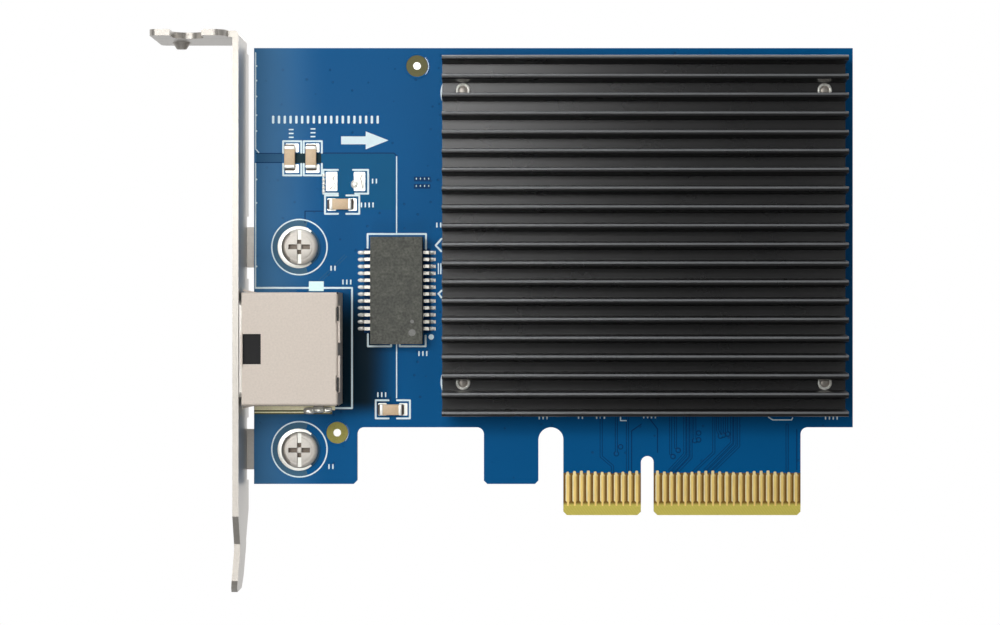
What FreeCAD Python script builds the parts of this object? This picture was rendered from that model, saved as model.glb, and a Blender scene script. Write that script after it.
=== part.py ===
import FreeCAD, Part

# Low-profile network interface card with one shielded jack.
#
# Frame, in millimetres: +Z up, +X away from the bracket, -Y towards the component side.
# The origin is the middle of the key notch, on the contact edge, in the middle of the board's
# thickness. "Height" below means the distance from the board's component face, along -Y.

import math
import os
import Sketcher
from FreeCAD import Vector

SIZES = {
    # Circuit board
    "board_thick": 1.57,      # thickness
    "board_left": 56.93,      # key centre to the bracket-side edge
    "board_right": 29.70,     # key centre to the far edge
    "board_top": 67.60,       # contact edge to the top edge
    "board_floor": 12.73,     # contact edge to the bottom edge
    "block_width": 14.93,     # corner block under the lower bracket screw
    "block_drop": 8.20,       # corner block and hook below the bottom edge
    "block_chamfer": 0.50,    # chamfer of the block and the hook
    "hook_far": 23.67,        # key centre to the far side of the hook
    "hook_width": 7.89,       # width of the hook
    "tongue_left": 12.15,     # key centre to the short end of the tongue
    "tongue_right": 22.15,    # key centre to the long end of the tongue
    "tongue_chamfer": 0.50,   # chamfer of the tongue's corners
    "key_width": 1.90,        # width of the key notch
    "key_depth": 8.57,        # depth of the key notch
    "inner_radius": 1.00,     # radius of the board's inner corners
    "bevel_height": 1.30,     # lead-in bevel of the contact edge, up the board
    "bevel_depth": 0.35,      # lead-in bevel of the contact edge, into the board
    # Edge contacts
    "contact_pitch": 1.00,    # pitch
    "contact_first": 1.50,    # key centre to the first contact each way
    "contact_width": 0.70,    # width
    "contact_neck": 0.26,     # width of the tapered ends
    "contact_top": 6.02,      # top end above the contact edge
    "contact_foot": 1.88,     # bottom end above the contact edge
    "contact_thick": 0.05,    # thickness of the plating
    # Bracket
    "sheet_thick": 0.86,      # sheet thickness
    "bracket_gap": 1.12,      # board edge to the plate
    "plate_width": 18.42,     # width of the plate
    "plate_front": 14.00,     # height of the plate's front edge
    "bracket_tall": 79.20,    # tab's top face to the tip of the tail
    "tab_top": 68.90,         # contact edge to the tab's top face
    "tab_reach": 11.43,       # plate's outer face to the end of the tab
    "tab_proud": 2.50,        # tab beyond the plate's front edge
    "tab_corner": 1.00,       # radius of the tab's corners
    "tab_shoulder": 1.90,     # radius of the shoulder beside the bend
    "tab_neck": 0.65,         # plate's outer face to the shoulder
    "notch_width": 4.42,      # screw notch width
    "notch_depth": 5.75,      # screw notch depth
    "notch_centre": 6.35,     # plate's outer face to the middle of the notch
    "dimple_radius": 1.35,    # pressed dimple, radius at the tab
    "dimple_deep": 0.95,      # pressed dimple, depth
    "dimple_reach": 8.10,     # plate's outer face to the dimple
    "dimple_back": 12.70,     # tab's front edge to the dimple
    "bend_outer": 0.55,       # outside radius of the tab's bend
    "bend_inner": 0.12,       # inside radius of the tab's bend
    "neck_tall": 2.00,        # height of the narrow neck under the tab's top face
    "neck_set_in": 3.30,      # rear edge of the neck set in from the plate's
    "tail_start": 0.70,       # contact edge to the start of the tail's taper
    "tail_taper": 4.10,       # length of the tail's taper
    "tail_front_in": 3.00,    # tail's front edge set in
    "tail_rear_in": 4.60,     # tail's rear edge set in
    "tail_corner": 1.70,      # radius of the tail's corners
    "tail_bend": 6.00,        # length of the tail that leans outwards
    "tail_lean": 0.50,        # how far its tip leans outwards
    # Bracket ears and screws
    "ear_tall": 5.85,         # height of an ear
    "ear_reach": 3.60,        # ear beyond its screw
    "ear_corner": 1.20,       # radius of its free corners
    "ear_bend": 0.80,         # outside radius of its bend
    "relief_tall": 9.10,      # height of the relief in the plate's rear edge
    "relief_deep": 2.90,      # depth of that relief
    "screw_inset": 6.65,      # board edge to the bracket screws
    "screw_upper": 38.80,     # upper bracket screw above the contact edge
    "screw_lower": 9.50,      # lower bracket screw above the contact edge
    "screw_radius": 1.45,     # bracket screw, thread radius
    "screw_play": 0.05,       # play of a screw in its hole
    "head_radius": 2.62,      # bracket screw, head radius
    "head_height": 1.90,      # bracket screw, head height
    "head_round": 0.65,       # slope of the head's rim
    "screw_tail": 0.90,       # thread that stands out behind the ear
    "drive_deep": 0.95,       # depth of the drive recess
    "slot_width": 0.62,       # width of the drive's slots
    "cross_reach": 1.45,      # half length of the drive's cross
    "ring_radius": 3.10,      # plated ring round the screw hole
    "ring_thick": 0.05,       # thickness of the plated ring
    # Heatsink
    "sink_left": 29.60,       # key centre to the bracket-side end
    "sink_long": 57.70,       # length along the fins
    "sink_low": 14.57,        # contact edge to the lowest fin's face
    "sink_wide": 51.30,       # width across the fins
    "sink_gap": 2.90,         # board to the base
    "base_thick": 2.10,       # base thickness
    "fin_tall": 4.60,         # fin height
    "fin_thick": 0.75,        # fin thickness
    "fin_tip": 0.22,          # chamfer of a fin's tip
    "fin_root": 0.30,         # chamfer at a fin's root
    "sink_hole_in": 2.97,     # end of the heatsink to a screw, along the fins
    "sink_hole_up": 4.66,     # side of the heatsink to a screw, across the fins
    "sink_screw": 1.00,       # heatsink screw, thread radius
    "sink_head": 1.90,        # heatsink screw, head radius
    "sink_head_tall": 1.30,   # heatsink screw, head height
    "spacer_wide": 3.80,      # spacer, width across its flats
    "spacer_play": 0.15,      # play of the screw in its spacer and in the board
    # Jack
    "jack_centre": 24.19,     # contact edge to the middle of the jack
    "jack_wide": 15.95,       # width of the shell
    "jack_long": 13.54,       # length of the shell
    "jack_tall": 13.40,       # height of the shell
    "jack_gap": 0.39,         # plate to the jack's mouth
    "shell_thick": 0.25,      # sheet thickness of the shell
    "shell_bend": 0.35,       # bend radius of the shell
    "shell_play": 0.05,       # housing to the shell
    "window_wide": 4.25,      # window in the shell, across
    "window_long": 2.70,      # window in the shell, along the jack
    "lip_long": 0.28,         # thickness of the grounding lip at the mouth
    "lip_tall": 0.35,         # lip above the shell
    "clip_thick": 0.28,       # thickness of the rear clips
    "clip_long": 5.15,        # length of a rear clip
    "clip_off": 3.50,         # middle of the jack to a rear clip's middle
    "clip_tall": 5.00,        # height of a rear clip
    "slit_long": 2.10,        # length of an open slit by a rear clip
    "slit_wide": 0.30,        # width of that slit
    "finger_long": 1.90,      # side grounding finger, length
    "finger_flare": 0.45,     # side grounding finger, flare
    "finger_tall": 5.00,      # side grounding finger, height
    "leg_wide": 1.20,         # shell's leg, width
    "leg_deep": 1.20,         # shell's leg beyond the solder side
    "leg_back": 7.60,         # mouth to the legs
    "leg_play": 0.15,         # play of a leg in its hole
    "cavity_wide": 11.80,     # plug cavity, width
    "cavity_floor": 2.00,     # plug cavity, height of its floor
    "cavity_tall": 7.00,      # plug cavity, floor to roof
    "cavity_long": 11.20,     # plug cavity, depth from the mouth
    "latch_wide": 6.30,       # latch slot, width
    "latch_tall": 2.60,       # latch slot, above the cavity's roof
    "pipe_wide": 3.00,        # light pipe, width
    "pipe_tall": 2.00,        # light pipe, height
    "pipe_off": 5.95,         # middle of the jack to a light pipe's middle
    "pipe_low": 9.80,         # height of the light pipes' underside
    "wire_pitch": 1.02,       # contact pitch
    "wire_wide": 0.45,        # contact width
    "wire_thick": 0.30,       # contact thickness
    "wire_rise": 2.70,        # free end above the cavity's floor
    "wire_bend": 4.05,        # mouth to the bend of the contacts
    "wire_tip": 2.70,         # cavity's back to the free ends
    "pin_wide": 0.45,         # solder tail, width
    "pin_thick": 0.30,        # solder tail, thickness
    "pin_hole": 0.45,         # radius of a solder tail's hole
    "pin_row": 2.54,          # between the two rows of tails
    "pin_back": 10.90,        # mouth to the first row of tails
    "pin_deep": 1.10,         # solder tails beyond the solder side
    "peg_radius": 1.60,       # locating peg radius
    "peg_off": 5.72,          # middle of the jack to a peg
    "peg_back": 5.00,         # mouth to the pegs
    "opening_wide": 13.60,    # opening in the bracket, width
    "opening_low": 1.60,      # opening in the bracket, height of its lower edge
    "opening_tall": 10.90,    # opening in the bracket, height
    "opening_corner": 0.60,   # radius of that opening's corners
    # Magnetics
    "magnet_left": 40.05,     # key centre to the module's bracket side
    "magnet_wide": 7.65,      # module body, width
    "magnet_low": 24.80,      # contact edge to the module body
    "magnet_long": 15.40,     # module body, length
    "magnet_tall": 4.20,      # height of its top
    "magnet_rise": 0.25,      # body above the board
    "magnet_draft": 0.12,     # slope of the moulded sides
    "lead_pitch": 1.00,       # lead pitch
    "lead_wide": 0.45,        # lead width
    "lead_thick": 0.22,       # lead thickness
    "lead_span": 11.14,       # toe to toe
    "lead_foot": 0.80,        # length of a foot
    "lead_exit": 1.90,        # height where the leads leave the body
    # Chip capacitors
    "chip_long": 3.20,        # length
    "chip_wide": 1.60,        # width
    "chip_tall": 1.25,        # height
    "chip_cap": 0.55,         # length of an end cap
    "chip_step": 0.05,        # end cap proud of the body
    "chip_far": 51.73,        # key centre to the far upright capacitor
    "chip_near": 48.65,       # key centre to the near upright capacitor
    "chip_pair_up": 51.76,    # contact edge to both upright capacitors
    "chip_middle": 44.40,     # key centre to the upper level capacitor
    "chip_middle_up": 45.00,  # contact edge to the upper level capacitor
    "chip_low": 37.12,        # key centre to the lower level capacitor
    "chip_low_up": 15.29,     # contact edge to the lower level capacitor
    "pad_wide": 1.65,         # bare solder pad, width
    "pad_long": 2.95,         # bare solder pad, length
    "pad_thick": 0.10,        # bare solder pad, thickness
    "pad_far": 45.73,         # key centre to the far bare pad
    "pad_near": 41.70,        # key centre to the near bare pad
    "pad_up": 48.30,          # contact edge to the bare pads
    # Under the heatsink
    "chip_square": 14.00,     # controller substrate, side
    "substrate_tall": 0.90,   # controller substrate, thickness
    "lid_square": 12.40,      # controller lid, side
    "lid_tall": 1.20,         # controller lid, thickness
    "pad_square": 12.00,      # thermal pad, side
    "coil_square": 4.00,      # power inductor, side
    "coil_tall": 2.00,        # power inductor, height
    "coil_off": 4.00,         # middle of the heatsink to an inductor's middle
    "regulator_square": 5.00, # regulator, side
    "regulator_tall": 0.90,   # regulator, height
    "flash_long": 4.90,       # flash memory body, length
    "flash_wide": 3.90,       # flash memory body, width
    "flash_tall": 1.60,       # flash memory, height
    "crystal_long": 3.20,     # crystal, length
    "crystal_wide": 2.50,     # crystal, width
    "crystal_tall": 0.80,     # crystal, height
}
PLANES = {"front": "XZ_Plane", "side": "YZ_Plane", "top": "XY_Plane"}
ROUND_END = "round end"


class Size:
    """A length together with the sheet expression that gives it."""

    def __init__(self, value, text):
        self.value = float(value)
        self.text = text

    def __add__(self, other):
        other = as_size(other)
        return Size(self.value + other.value, f"({self.text} + {other.text})")

    def __sub__(self, other):
        other = as_size(other)
        return Size(self.value - other.value, f"({self.text} - {other.text})")

    def __mul__(self, other):
        other = as_size(other)
        return Size(self.value * other.value, f"({self.text} * {other.text})")

    def __truediv__(self, other):
        other = as_size(other)
        return Size(self.value / other.value, f"({self.text} / {other.text})")

    def __neg__(self):
        return Size(-self.value, f"(0 - {self.text})")

    __radd__ = __add__
    __rmul__ = __mul__

    def __rsub__(self, other):
        return as_size(other) - self


def as_size(number):
    """A plain number as a Size."""
    if isinstance(number, Size):
        return number
    return Size(number, f"({float(number)})")


def make_sheet(doc):
    """The spreadsheet of driving dimensions, one row each."""
    sheet = doc.addObject("Spreadsheet::Sheet", "Dims")
    for row, (alias, value) in enumerate(SIZES.items(), 1):
        sheet.set(f"A{row}", alias)
        sheet.set(f"B{row}", str(value))
        sheet.setAlias(f"B{row}", alias)
    doc.recompute()
    return sheet


class Dims:
    """The sheet's dimensions and the places worked out from them, each a Size."""

    def __init__(self, sheet):
        for alias in SIZES:
            setattr(self, alias, Size(sheet.get(alias), f"Dims.{alias}"))
        self.half = self.board_thick / 2
        # Bracket: faces of the plate, its edges and the tail's tip.
        self.plate_inner = -(self.board_left + self.bracket_gap)
        self.plate_outer = self.plate_inner - self.sheet_thick
        self.front_edge = -(self.half + self.plate_front)
        self.rear_edge = self.front_edge + self.plate_width
        self.tail_tip = self.tab_top - self.bracket_tall
        self.screw_x = self.screw_inset - self.board_left
        # Jack: its mouth, its back and its two sides.
        self.mouth = self.plate_inner + self.jack_gap
        self.jack_back = self.mouth + self.jack_long
        self.jack_low = self.jack_centre - self.jack_wide / 2
        self.jack_high = self.jack_centre + self.jack_wide / 2
        # Heatsink: its screws and the height of its base.
        self.sink_right = self.sink_long - self.sink_left
        self.sink_high = self.sink_low + self.sink_wide
        self.base_top = self.sink_gap + self.base_thick
        self.sink_hole_x = self.sink_hole_in - self.sink_left
        self.sink_hole_z = self.sink_low + self.sink_hole_up
        self.sink_span_x = self.sink_long - 2 * self.sink_hole_in
        self.sink_span_z = self.sink_wide - 2 * self.sink_hole_up


# Sketches

def new_body(doc, name):
    """A body that may hold several separate solids."""
    body = doc.addObject("PartDesign::Body", name)
    body.Label = name
    body.AllowCompound = True
    return body


def new_sketch(body, plane, name, offset=(0, 0, 0)):
    """A sketch on one of the body's origin planes, moved by offset along its own axes."""
    sketch = body.newObject("Sketcher::SketchObject", name)
    role = PLANES[plane]
    support = [item for item in body.Origin.OriginFeatures if item.Role == role][0]
    sketch.AttachmentSupport = [(support, "")]
    sketch.MapMode = "FlatFace"
    for axis, distance in zip("xyz", offset):
        sketch.setExpression(f"AttachmentOffset.Base.{axis}", as_size(distance).text)
    return sketch


def pin(sketch, geometry, position, x, y):
    """Ties a point of the sketch to its two distances from the sketch's origin."""
    for kind, size in (("DistanceX", x), ("DistanceY", y)):
        number = sketch.addConstraint(
            Sketcher.Constraint(kind, -1, 1, geometry, position, size.value))
        sketch.setExpression(f"Constraints[{number}]", size.text)


def tie_radius(sketch, geometry, size):
    """Ties an arc's or a circle's radius."""
    number = sketch.addConstraint(Sketcher.Constraint("Radius", geometry, size.value))
    sketch.setExpression(f"Constraints[{number}]", size.text)


def unit(vector):
    """The vector at length 1."""
    return vector / vector.Length


def arc_between(sketch, start, end, centre, turns_left):
    """An arc's number and its start and end positions, in the order start to end."""
    first, last = (start, end) if turns_left else (end, start)
    low = math.atan2(first.y - centre.y, first.x - centre.x)
    high = math.atan2(last.y - centre.y, last.x - centre.x)
    if high <= low:
        high += 2 * math.pi
    circle = Part.Circle(centre, Vector(0, 0, 1), start.distanceToPoint(centre))
    number = sketch.addGeometry(Part.ArcOfCircle(circle, low, high))
    return (number, 1, 2) if turns_left else (number, 2, 1)


def corner_arc(before, corner, after, radius):
    """Ends and centre of the arc that rounds a corner, and whether it turns left."""
    back = unit(before - corner)
    ahead = unit(after - corner)
    half_angle = back.getAngle(ahead) / 2
    run = radius / math.tan(half_angle)
    centre = corner + unit(back + ahead) * (radius / math.sin(half_angle))
    turns_left = (corner - before).cross(after - corner).z > 0
    return corner + back * run, corner + ahead * run, centre, turns_left


def outline(sketch, corners):
    """A closed outline, fully constrained.

    Each corner is (x, y), (x, y, radius) for a rounded corner, or (x, y, ROUND_END) where a
    half circle leads from it to the next corner.
    """
    corners = [(as_size(c[0]), as_size(c[1]), c[2] if len(c) > 2 else None) for c in corners]
    spots = [Vector(x.value, y.value, 0) for x, y, _ in corners]
    count = len(corners)
    arcs = {}
    for i, (_, _, mark) in enumerate(corners):
        if isinstance(mark, Size):
            arcs[i] = corner_arc(spots[i - 1], spots[i], spots[(i + 1) % count], mark.value)
    edges = []
    for i, (_, _, mark) in enumerate(corners):
        after = (i + 1) % count
        start = arcs[i][1] if i in arcs else spots[i]
        end = arcs[after][0] if after in arcs else spots[after]
        if mark == ROUND_END:
            turns_left = (spots[i] - spots[i - 1]).cross(end - start).z > 0
            edges.append(arc_between(sketch, start, end, (start + end) / 2, turns_left))
        else:
            edges.append((sketch.addGeometry(Part.LineSegment(start, end)), 1, 2))
    for i, (x, y, mark) in enumerate(corners):
        before, _, before_end = edges[i - 1]
        ahead, ahead_start, _ = edges[i]
        if i in arcs:
            arc, arc_start, arc_end = arc_between(sketch, *arcs[i])
            sketch.addConstraint(Sketcher.Constraint("Tangent", before, before_end, arc, arc_start))
            sketch.addConstraint(Sketcher.Constraint("Tangent", arc, arc_end, ahead, ahead_start))
            tie_radius(sketch, arc, mark)
            spot = sketch.addGeometry(Part.Point(spots[i]), True)
            sketch.addConstraint(Sketcher.Constraint("PointOnObject", spot, 1, before))
            sketch.addConstraint(Sketcher.Constraint("PointOnObject", spot, 1, ahead))
            pin(sketch, spot, 1, x, y)
            continue
        kind = "Tangent" if mark == ROUND_END else "Coincident"
        sketch.addConstraint(Sketcher.Constraint(kind, before, before_end, ahead, ahead_start))
        pin(sketch, ahead, ahead_start, x, y)


def rectangle(x_low, x_high, y_low, y_high, radius=None):
    """Corners of a rectangle for outline()."""
    corners = [(x_low, y_low), (x_high, y_low), (x_high, y_high), (x_low, y_high)]
    if radius is None:
        return corners
    return [(x, y, radius) for x, y in corners]


def centred(x, y, wide, tall, radius=None):
    """Corners of a rectangle round its centre."""
    return rectangle(x - wide / 2, x + wide / 2, y - tall / 2, y + tall / 2, radius)


def plus(x, y, reach, wide):
    """Corners of a plus sign for outline()."""
    half = wide / 2
    return [
        (x - reach, y - half), (x - half, y - half), (x - half, y - reach),
        (x + half, y - reach), (x + half, y - half), (x + reach, y - half),
        (x + reach, y + half), (x + half, y + half), (x + half, y + reach),
        (x - half, y + reach), (x - half, y + half), (x - reach, y + half),
    ]


def hexagon(x, y, flats):
    """Corners of a hexagon for outline(), flats being its width across them."""
    flank, point = flats / 2, flats / math.sqrt(3)
    return [
        (x, y - point), (x + flank, y - point / 2), (x + flank, y + point / 2),
        (x, y + point), (x - flank, y + point / 2), (x - flank, y - point / 2),
    ]


def circle(sketch, x, y, radius):
    """A circle tied to its centre and radius."""
    x, y, radius = as_size(x), as_size(y), as_size(radius)
    shape = Part.Circle(Vector(x.value, y.value, 0), Vector(0, 0, 1), radius.value)
    number = sketch.addGeometry(shape)
    tie_radius(sketch, number, radius)
    pin(sketch, number, 3, x, y)


# Features

def pad(body, sketch, length, towards_back=False):
    """Solid from the sketch along its normal, or against it."""
    feature = body.newObject("PartDesign::Pad", f"{sketch.Name}_pad")
    feature.Profile = sketch
    feature.setExpression("Length", as_size(length).text)
    feature.Reversed = towards_back
    body.Tip = feature
    return feature


def pocket(body, sketch, depth=None, along_normal=False):
    """Cut from the sketch against its normal, along it, or right through both ways."""
    feature = body.newObject("PartDesign::Pocket", f"{sketch.Name}_cut")
    feature.Profile = sketch
    if depth is None:
        feature.Type = "ThroughAll"
        feature.Midplane = True
    else:
        feature.setExpression("Length", as_size(depth).text)
        feature.Reversed = along_normal
    body.Tip = feature
    return feature


def revolve(body, sketch, kind="Revolution"):
    """Turned solid, or groove, round the sketch's upright axis."""
    feature = body.newObject(f"PartDesign::{kind}", f"{sketch.Name}_turn")
    feature.Profile = sketch
    feature.ReferenceAxis = (sketch, ["V_Axis"])
    feature.Angle = 360
    body.Tip = feature
    return feature


def repeat(body, feature, sketch, axis, span, count, second=None):
    """Row of copies along a sketch axis, or a grid with a second axis, span and count."""
    pattern = body.newObject("PartDesign::LinearPattern", f"{feature.Name}_row")
    pattern.Originals = [feature]
    pattern.Direction = (sketch, [axis])
    pattern.setExpression("Length", as_size(span).text)
    pattern.Occurrences = count
    if second:
        second_axis, second_span, second_count = second
        pattern.Direction2 = (sketch, [second_axis])
        pattern.setExpression("Length2", as_size(second_span).text)
        pattern.Occurrences2 = second_count
    body.Tip = pattern
    return pattern


def straight_edges(feature, along, **place):
    """Names of the feature's straight edges along an axis, whose middle is at the place."""
    feature.Document.recompute()
    direction = {"x": Vector(1, 0, 0), "y": Vector(0, 1, 0), "z": Vector(0, 0, 1)}[along]
    names = []
    for number, edge in enumerate(feature.Shape.Edges, 1):
        if edge.Curve.TypeId != "Part::GeomLine":
            continue
        start, end = edge.firstVertex().Point, edge.lastVertex().Point
        middle = (start + end) / 2
        is_along = abs(unit(end - start).dot(direction)) > 0.9999
        if is_along and all(abs(getattr(middle, axis) - size.value) < 1e-4
                            for axis, size in place.items()):
            names.append(f"Edge{number}")
    return names


def fillet(body, feature, names, radius):
    """Rounds the named edges of a feature."""
    rounding = body.newObject("PartDesign::Fillet", f"{feature.Name}_round")
    rounding.Base = (feature, names)
    rounding.setExpression("Radius", as_size(radius).text)
    body.Tip = rounding
    return rounding


def block(doc, name, d, x, z, wide, tall, low, high):
    """Block on the component side, from one height to another above the board."""
    body = new_body(doc, name)
    base = new_sketch(body, "front", f"{name}_outline", (0, 0, d.half + low))
    outline(base, centred(x, z, wide, tall))
    pad(body, base, as_size(high) - low)
    return body


# Circuit board and its contacts

def circuit_board(doc, d):
    """Board with corner block, hook, keyed tongue, bevelled contact edge and holes."""
    body = new_body(doc, "pcb")
    low = d.board_floor - d.block_drop
    block_end = d.block_width - d.board_left
    hook_near = d.hook_width - d.hook_far
    slot_round = d.board_floor - (d.tongue_left * -1 - hook_near) / 2
    key_round = d.key_depth - d.key_width / 2
    bevel, nick = d.block_chamfer, d.tongue_chamfer
    face = new_sketch(body, "front", "board_outline", (0, 0, -d.half))
    outline(face, [
        (-d.board_left, d.board_top),
        (-d.board_left, low),
        (block_end - bevel, low),
        (block_end, low + bevel),
        (block_end, d.board_floor, d.inner_radius),
        (-d.hook_far, d.board_floor, d.inner_radius),
        (-d.hook_far, low + bevel),
        (bevel - d.hook_far, low),
        (hook_near - bevel, low),
        (hook_near, low + bevel),
        (hook_near, slot_round, ROUND_END),
        (-d.tongue_left, slot_round),
        (-d.tongue_left, nick),
        (nick - d.tongue_left, 0),
        (-(d.key_width / 2) - nick, 0),
        (-(d.key_width / 2), nick),
        (-(d.key_width / 2), key_round, ROUND_END),
        (d.key_width / 2, key_round),
        (d.key_width / 2, nick),
        (d.key_width / 2 + nick, 0),
        (d.tongue_right - nick, 0),
        (d.tongue_right, nick),
        (d.tongue_right, d.board_floor, d.inner_radius),
        (d.board_right, d.board_floor),
        (d.board_right, d.board_top),
    ])
    pad(body, face, d.board_thick)

    bevels = new_sketch(body, "side", "edge_bevels")
    for side in (-1, 1):
        face_y = side * d.half
        outline(bevels, [(face_y, 0), (face_y - side * d.bevel_depth, 0), (face_y, d.bevel_height)])
    pocket(body, bevels)

    holes = new_sketch(body, "front", "board_holes")
    for z in (d.screw_upper, d.screw_lower):
        circle(holes, d.screw_x, z, d.screw_radius + 2 * d.screw_play)
    for x in (d.sink_hole_x, d.sink_hole_x + d.sink_span_x):
        for z in (d.sink_hole_z, d.sink_hole_z + d.sink_span_z):
            circle(holes, x, z, d.sink_screw + d.spacer_play)
    for side in (-1, 1):
        circle(holes, d.mouth + d.peg_back, d.jack_centre + side * d.peg_off,
               d.peg_radius + d.screw_play)
        leg_z = d.jack_centre + side * (d.jack_wide / 2 - d.shell_thick / 2)
        circle(holes, d.mouth + d.leg_back, leg_z, d.leg_wide / 2 + d.leg_play)
    for x, z in tail_places(d):
        circle(holes, x, z, d.pin_hole)
    pocket(body, holes)
    return body


def edge_contacts(doc, d, name, face):
    """Contacts on one face of the tongue: face is 1 on the component side, -1 behind."""
    body = new_body(doc, name)
    half = d.contact_width / 2
    neck = d.contact_neck / 2
    crown = d.contact_top - half + neck
    heel = d.contact_foot + half - neck
    for block_name, start, way, count in (("short", -d.contact_first, -1, 11),
                                          ("long", d.contact_first, 1, 21)):
        contact = new_sketch(body, "front", f"{name}_{block_name}", (0, 0, face * d.half))
        outline(contact, [
            (start - neck, d.contact_foot),
            (start + neck, d.contact_foot),
            (start + half, heel),
            (start + half, crown),
            (start + neck, d.contact_top),
            (start - neck, d.contact_top),
            (start - half, crown),
            (start - half, heel),
        ])
        first = pad(body, contact, d.contact_thick, towards_back=face < 0)
        row = repeat(body, first, contact, "H_Axis", d.contact_pitch * (count - 1), count)
        row.Reversed = way < 0
    return body


# Bracket and its screws

def bracket(doc, d):
    """Folded bracket: plate, two ears behind the board and the tab."""
    body = new_body(doc, "bracket")
    plate_profile(body, d)
    plate_cutouts(body, d)
    for name, z in (("upper_ear", d.screw_upper), ("lower_ear", d.screw_lower)):
        ear(body, d, name, z)
    tab(body, d)
    return body


def plate_profile(body, d):
    """The plate seen along the board: straight, with a tail that leans outwards."""
    lean_start = d.tail_tip + d.tail_bend
    side = new_sketch(body, "front", "plate_profile", (0, 0, -d.front_edge))
    outline(side, [
        (d.plate_inner, d.tab_top),
        (d.plate_inner, lean_start),
        (d.plate_inner - d.tail_lean, d.tail_tip),
        (d.plate_outer - d.tail_lean, d.tail_tip),
        (d.plate_outer, lean_start),
        (d.plate_outer, d.tab_top),
    ])
    return pad(body, side, d.plate_width, towards_back=True)


def plate_cutouts(body, d):
    """The plate seen from the front of the machine: neck, reliefs, tail and jack opening."""
    cuts = new_sketch(body, "side", "plate_cutouts")
    outside = d.rear_edge + d.sheet_thick
    ahead = d.front_edge - d.sheet_thick
    beyond = d.tail_tip - d.sheet_thick
    neck = d.rear_edge - d.neck_set_in
    outline(cuts, rectangle(neck, outside, d.tab_top - d.neck_tall, d.tab_top + d.sheet_thick))
    fold = d.half + d.sheet_thick
    slot = d.rear_edge - d.relief_deep
    for z in (d.screw_upper, d.screw_lower):
        outer, inner = d.relief_tall / 2, d.ear_tall / 2
        outline(cuts, [
            (outside, z - outer), (slot, z - outer), (slot, z - inner), (fold, z - inner),
            (fold, z + inner), (slot, z + inner), (slot, z + outer), (outside, z + outer),
        ])
    tail_front = d.front_edge + d.tail_front_in
    tail_rear = d.rear_edge - d.tail_rear_in
    taper_end = d.tail_start - d.tail_taper
    tip_corner = d.tail_tip + d.tail_corner
    outline(cuts, [
        (ahead, d.tail_start),
        (d.front_edge, d.tail_start),
        (tail_front, taper_end),
        (tail_front, tip_corner),
        (tail_front + d.tail_corner / 3, d.tail_tip + d.tail_corner / 3),
        (tail_front + d.tail_corner, d.tail_tip),
        (tail_front + d.tail_corner, beyond),
        (ahead, beyond),
    ])
    outline(cuts, [
        (outside, d.tail_start),
        (outside, beyond),
        (tail_rear - d.tail_corner, beyond),
        (tail_rear - d.tail_corner, d.tail_tip),
        (tail_rear, tip_corner),
        (tail_rear, taper_end),
        (d.rear_edge, d.tail_start),
    ])
    lower = -(d.half + d.opening_low)
    outline(cuts, rectangle(lower - d.opening_tall, lower,
                            d.jack_centre - d.opening_wide / 2,
                            d.jack_centre + d.opening_wide / 2, d.opening_corner))
    return pocket(body, cuts)


def ear(body, d, name, z):
    """An ear folded from the plate's rear edge, flat behind the board, with its tapped hole."""
    half = d.ear_tall / 2
    end = d.screw_x + d.ear_reach
    flat = new_sketch(body, "front", name, (0, 0, -d.half))
    outline(flat, [
        (d.plate_outer, z - half),
        (end, z - half, d.ear_corner),
        (end, z + half, d.ear_corner),
        (d.plate_outer, z + half),
    ])
    circle(flat, d.screw_x, z, d.screw_radius + d.screw_play)
    folded = pad(body, flat, d.sheet_thick, towards_back=True)
    outside = straight_edges(folded, "z", x=d.plate_outer, y=d.half + d.sheet_thick, z=z)
    return fillet(body, folded, outside, d.ear_bend)


def tab(body, d):
    """The tab that is screwed to the chassis, with its notch, bend and pressed dimple."""
    front = d.front_edge - d.tab_proud
    rear = d.rear_edge - d.neck_set_in
    shoulder = d.plate_outer - d.tab_neck
    end = d.plate_outer - d.tab_reach
    notch = d.plate_outer - d.notch_centre
    notch_round = front + d.notch_depth - d.notch_width / 2
    flat = new_sketch(body, "top", "tab_outline", (0, 0, d.tab_top - d.sheet_thick))
    outline(flat, [
        (d.plate_inner, d.front_edge),
        (d.plate_inner, rear),
        (end, rear, d.tab_corner),
        (end, front, d.tab_corner),
        (notch - d.notch_width / 2, front),
        (notch - d.notch_width / 2, notch_round, ROUND_END),
        (notch + d.notch_width / 2, notch_round),
        (notch + d.notch_width / 2, front),
        (shoulder, front, d.tab_shoulder),
        (shoulder, d.front_edge),
    ])
    folded = pad(body, flat, d.sheet_thick)
    outside = straight_edges(folded, "y", x=d.plate_inner, z=d.tab_top)
    bent = fillet(body, folded, outside, d.bend_outer)
    inside = straight_edges(bent, "y", x=d.plate_outer, z=d.tab_top - d.sheet_thick)
    fillet(body, bent, inside, d.bend_inner)

    centre = (d.plate_outer - d.dimple_reach, d.tab_top, -(front + d.dimple_back))
    bump = new_sketch(body, "front", "dimple_bump", centre)
    dome(bump, d.dimple_radius, -d.sheet_thick, d.dimple_deep)
    revolve(body, bump)
    wall = d.dimple_deep / 2
    hollow = new_sketch(body, "front", "dimple_hollow", centre)
    dome(hollow, d.dimple_radius - wall, as_size(0), d.dimple_deep)
    return revolve(body, hollow, "Groove")


def dome(sketch, radius, rim, deep):
    """Half section of a shallow bowl that hangs from its rim, about the upright axis."""
    outline(sketch, [
        (0, rim + deep / 2),
        (0, rim - deep),
        (radius / 2, rim - deep),
        (radius, rim),
        (radius, rim + deep / 2),
    ])


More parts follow.
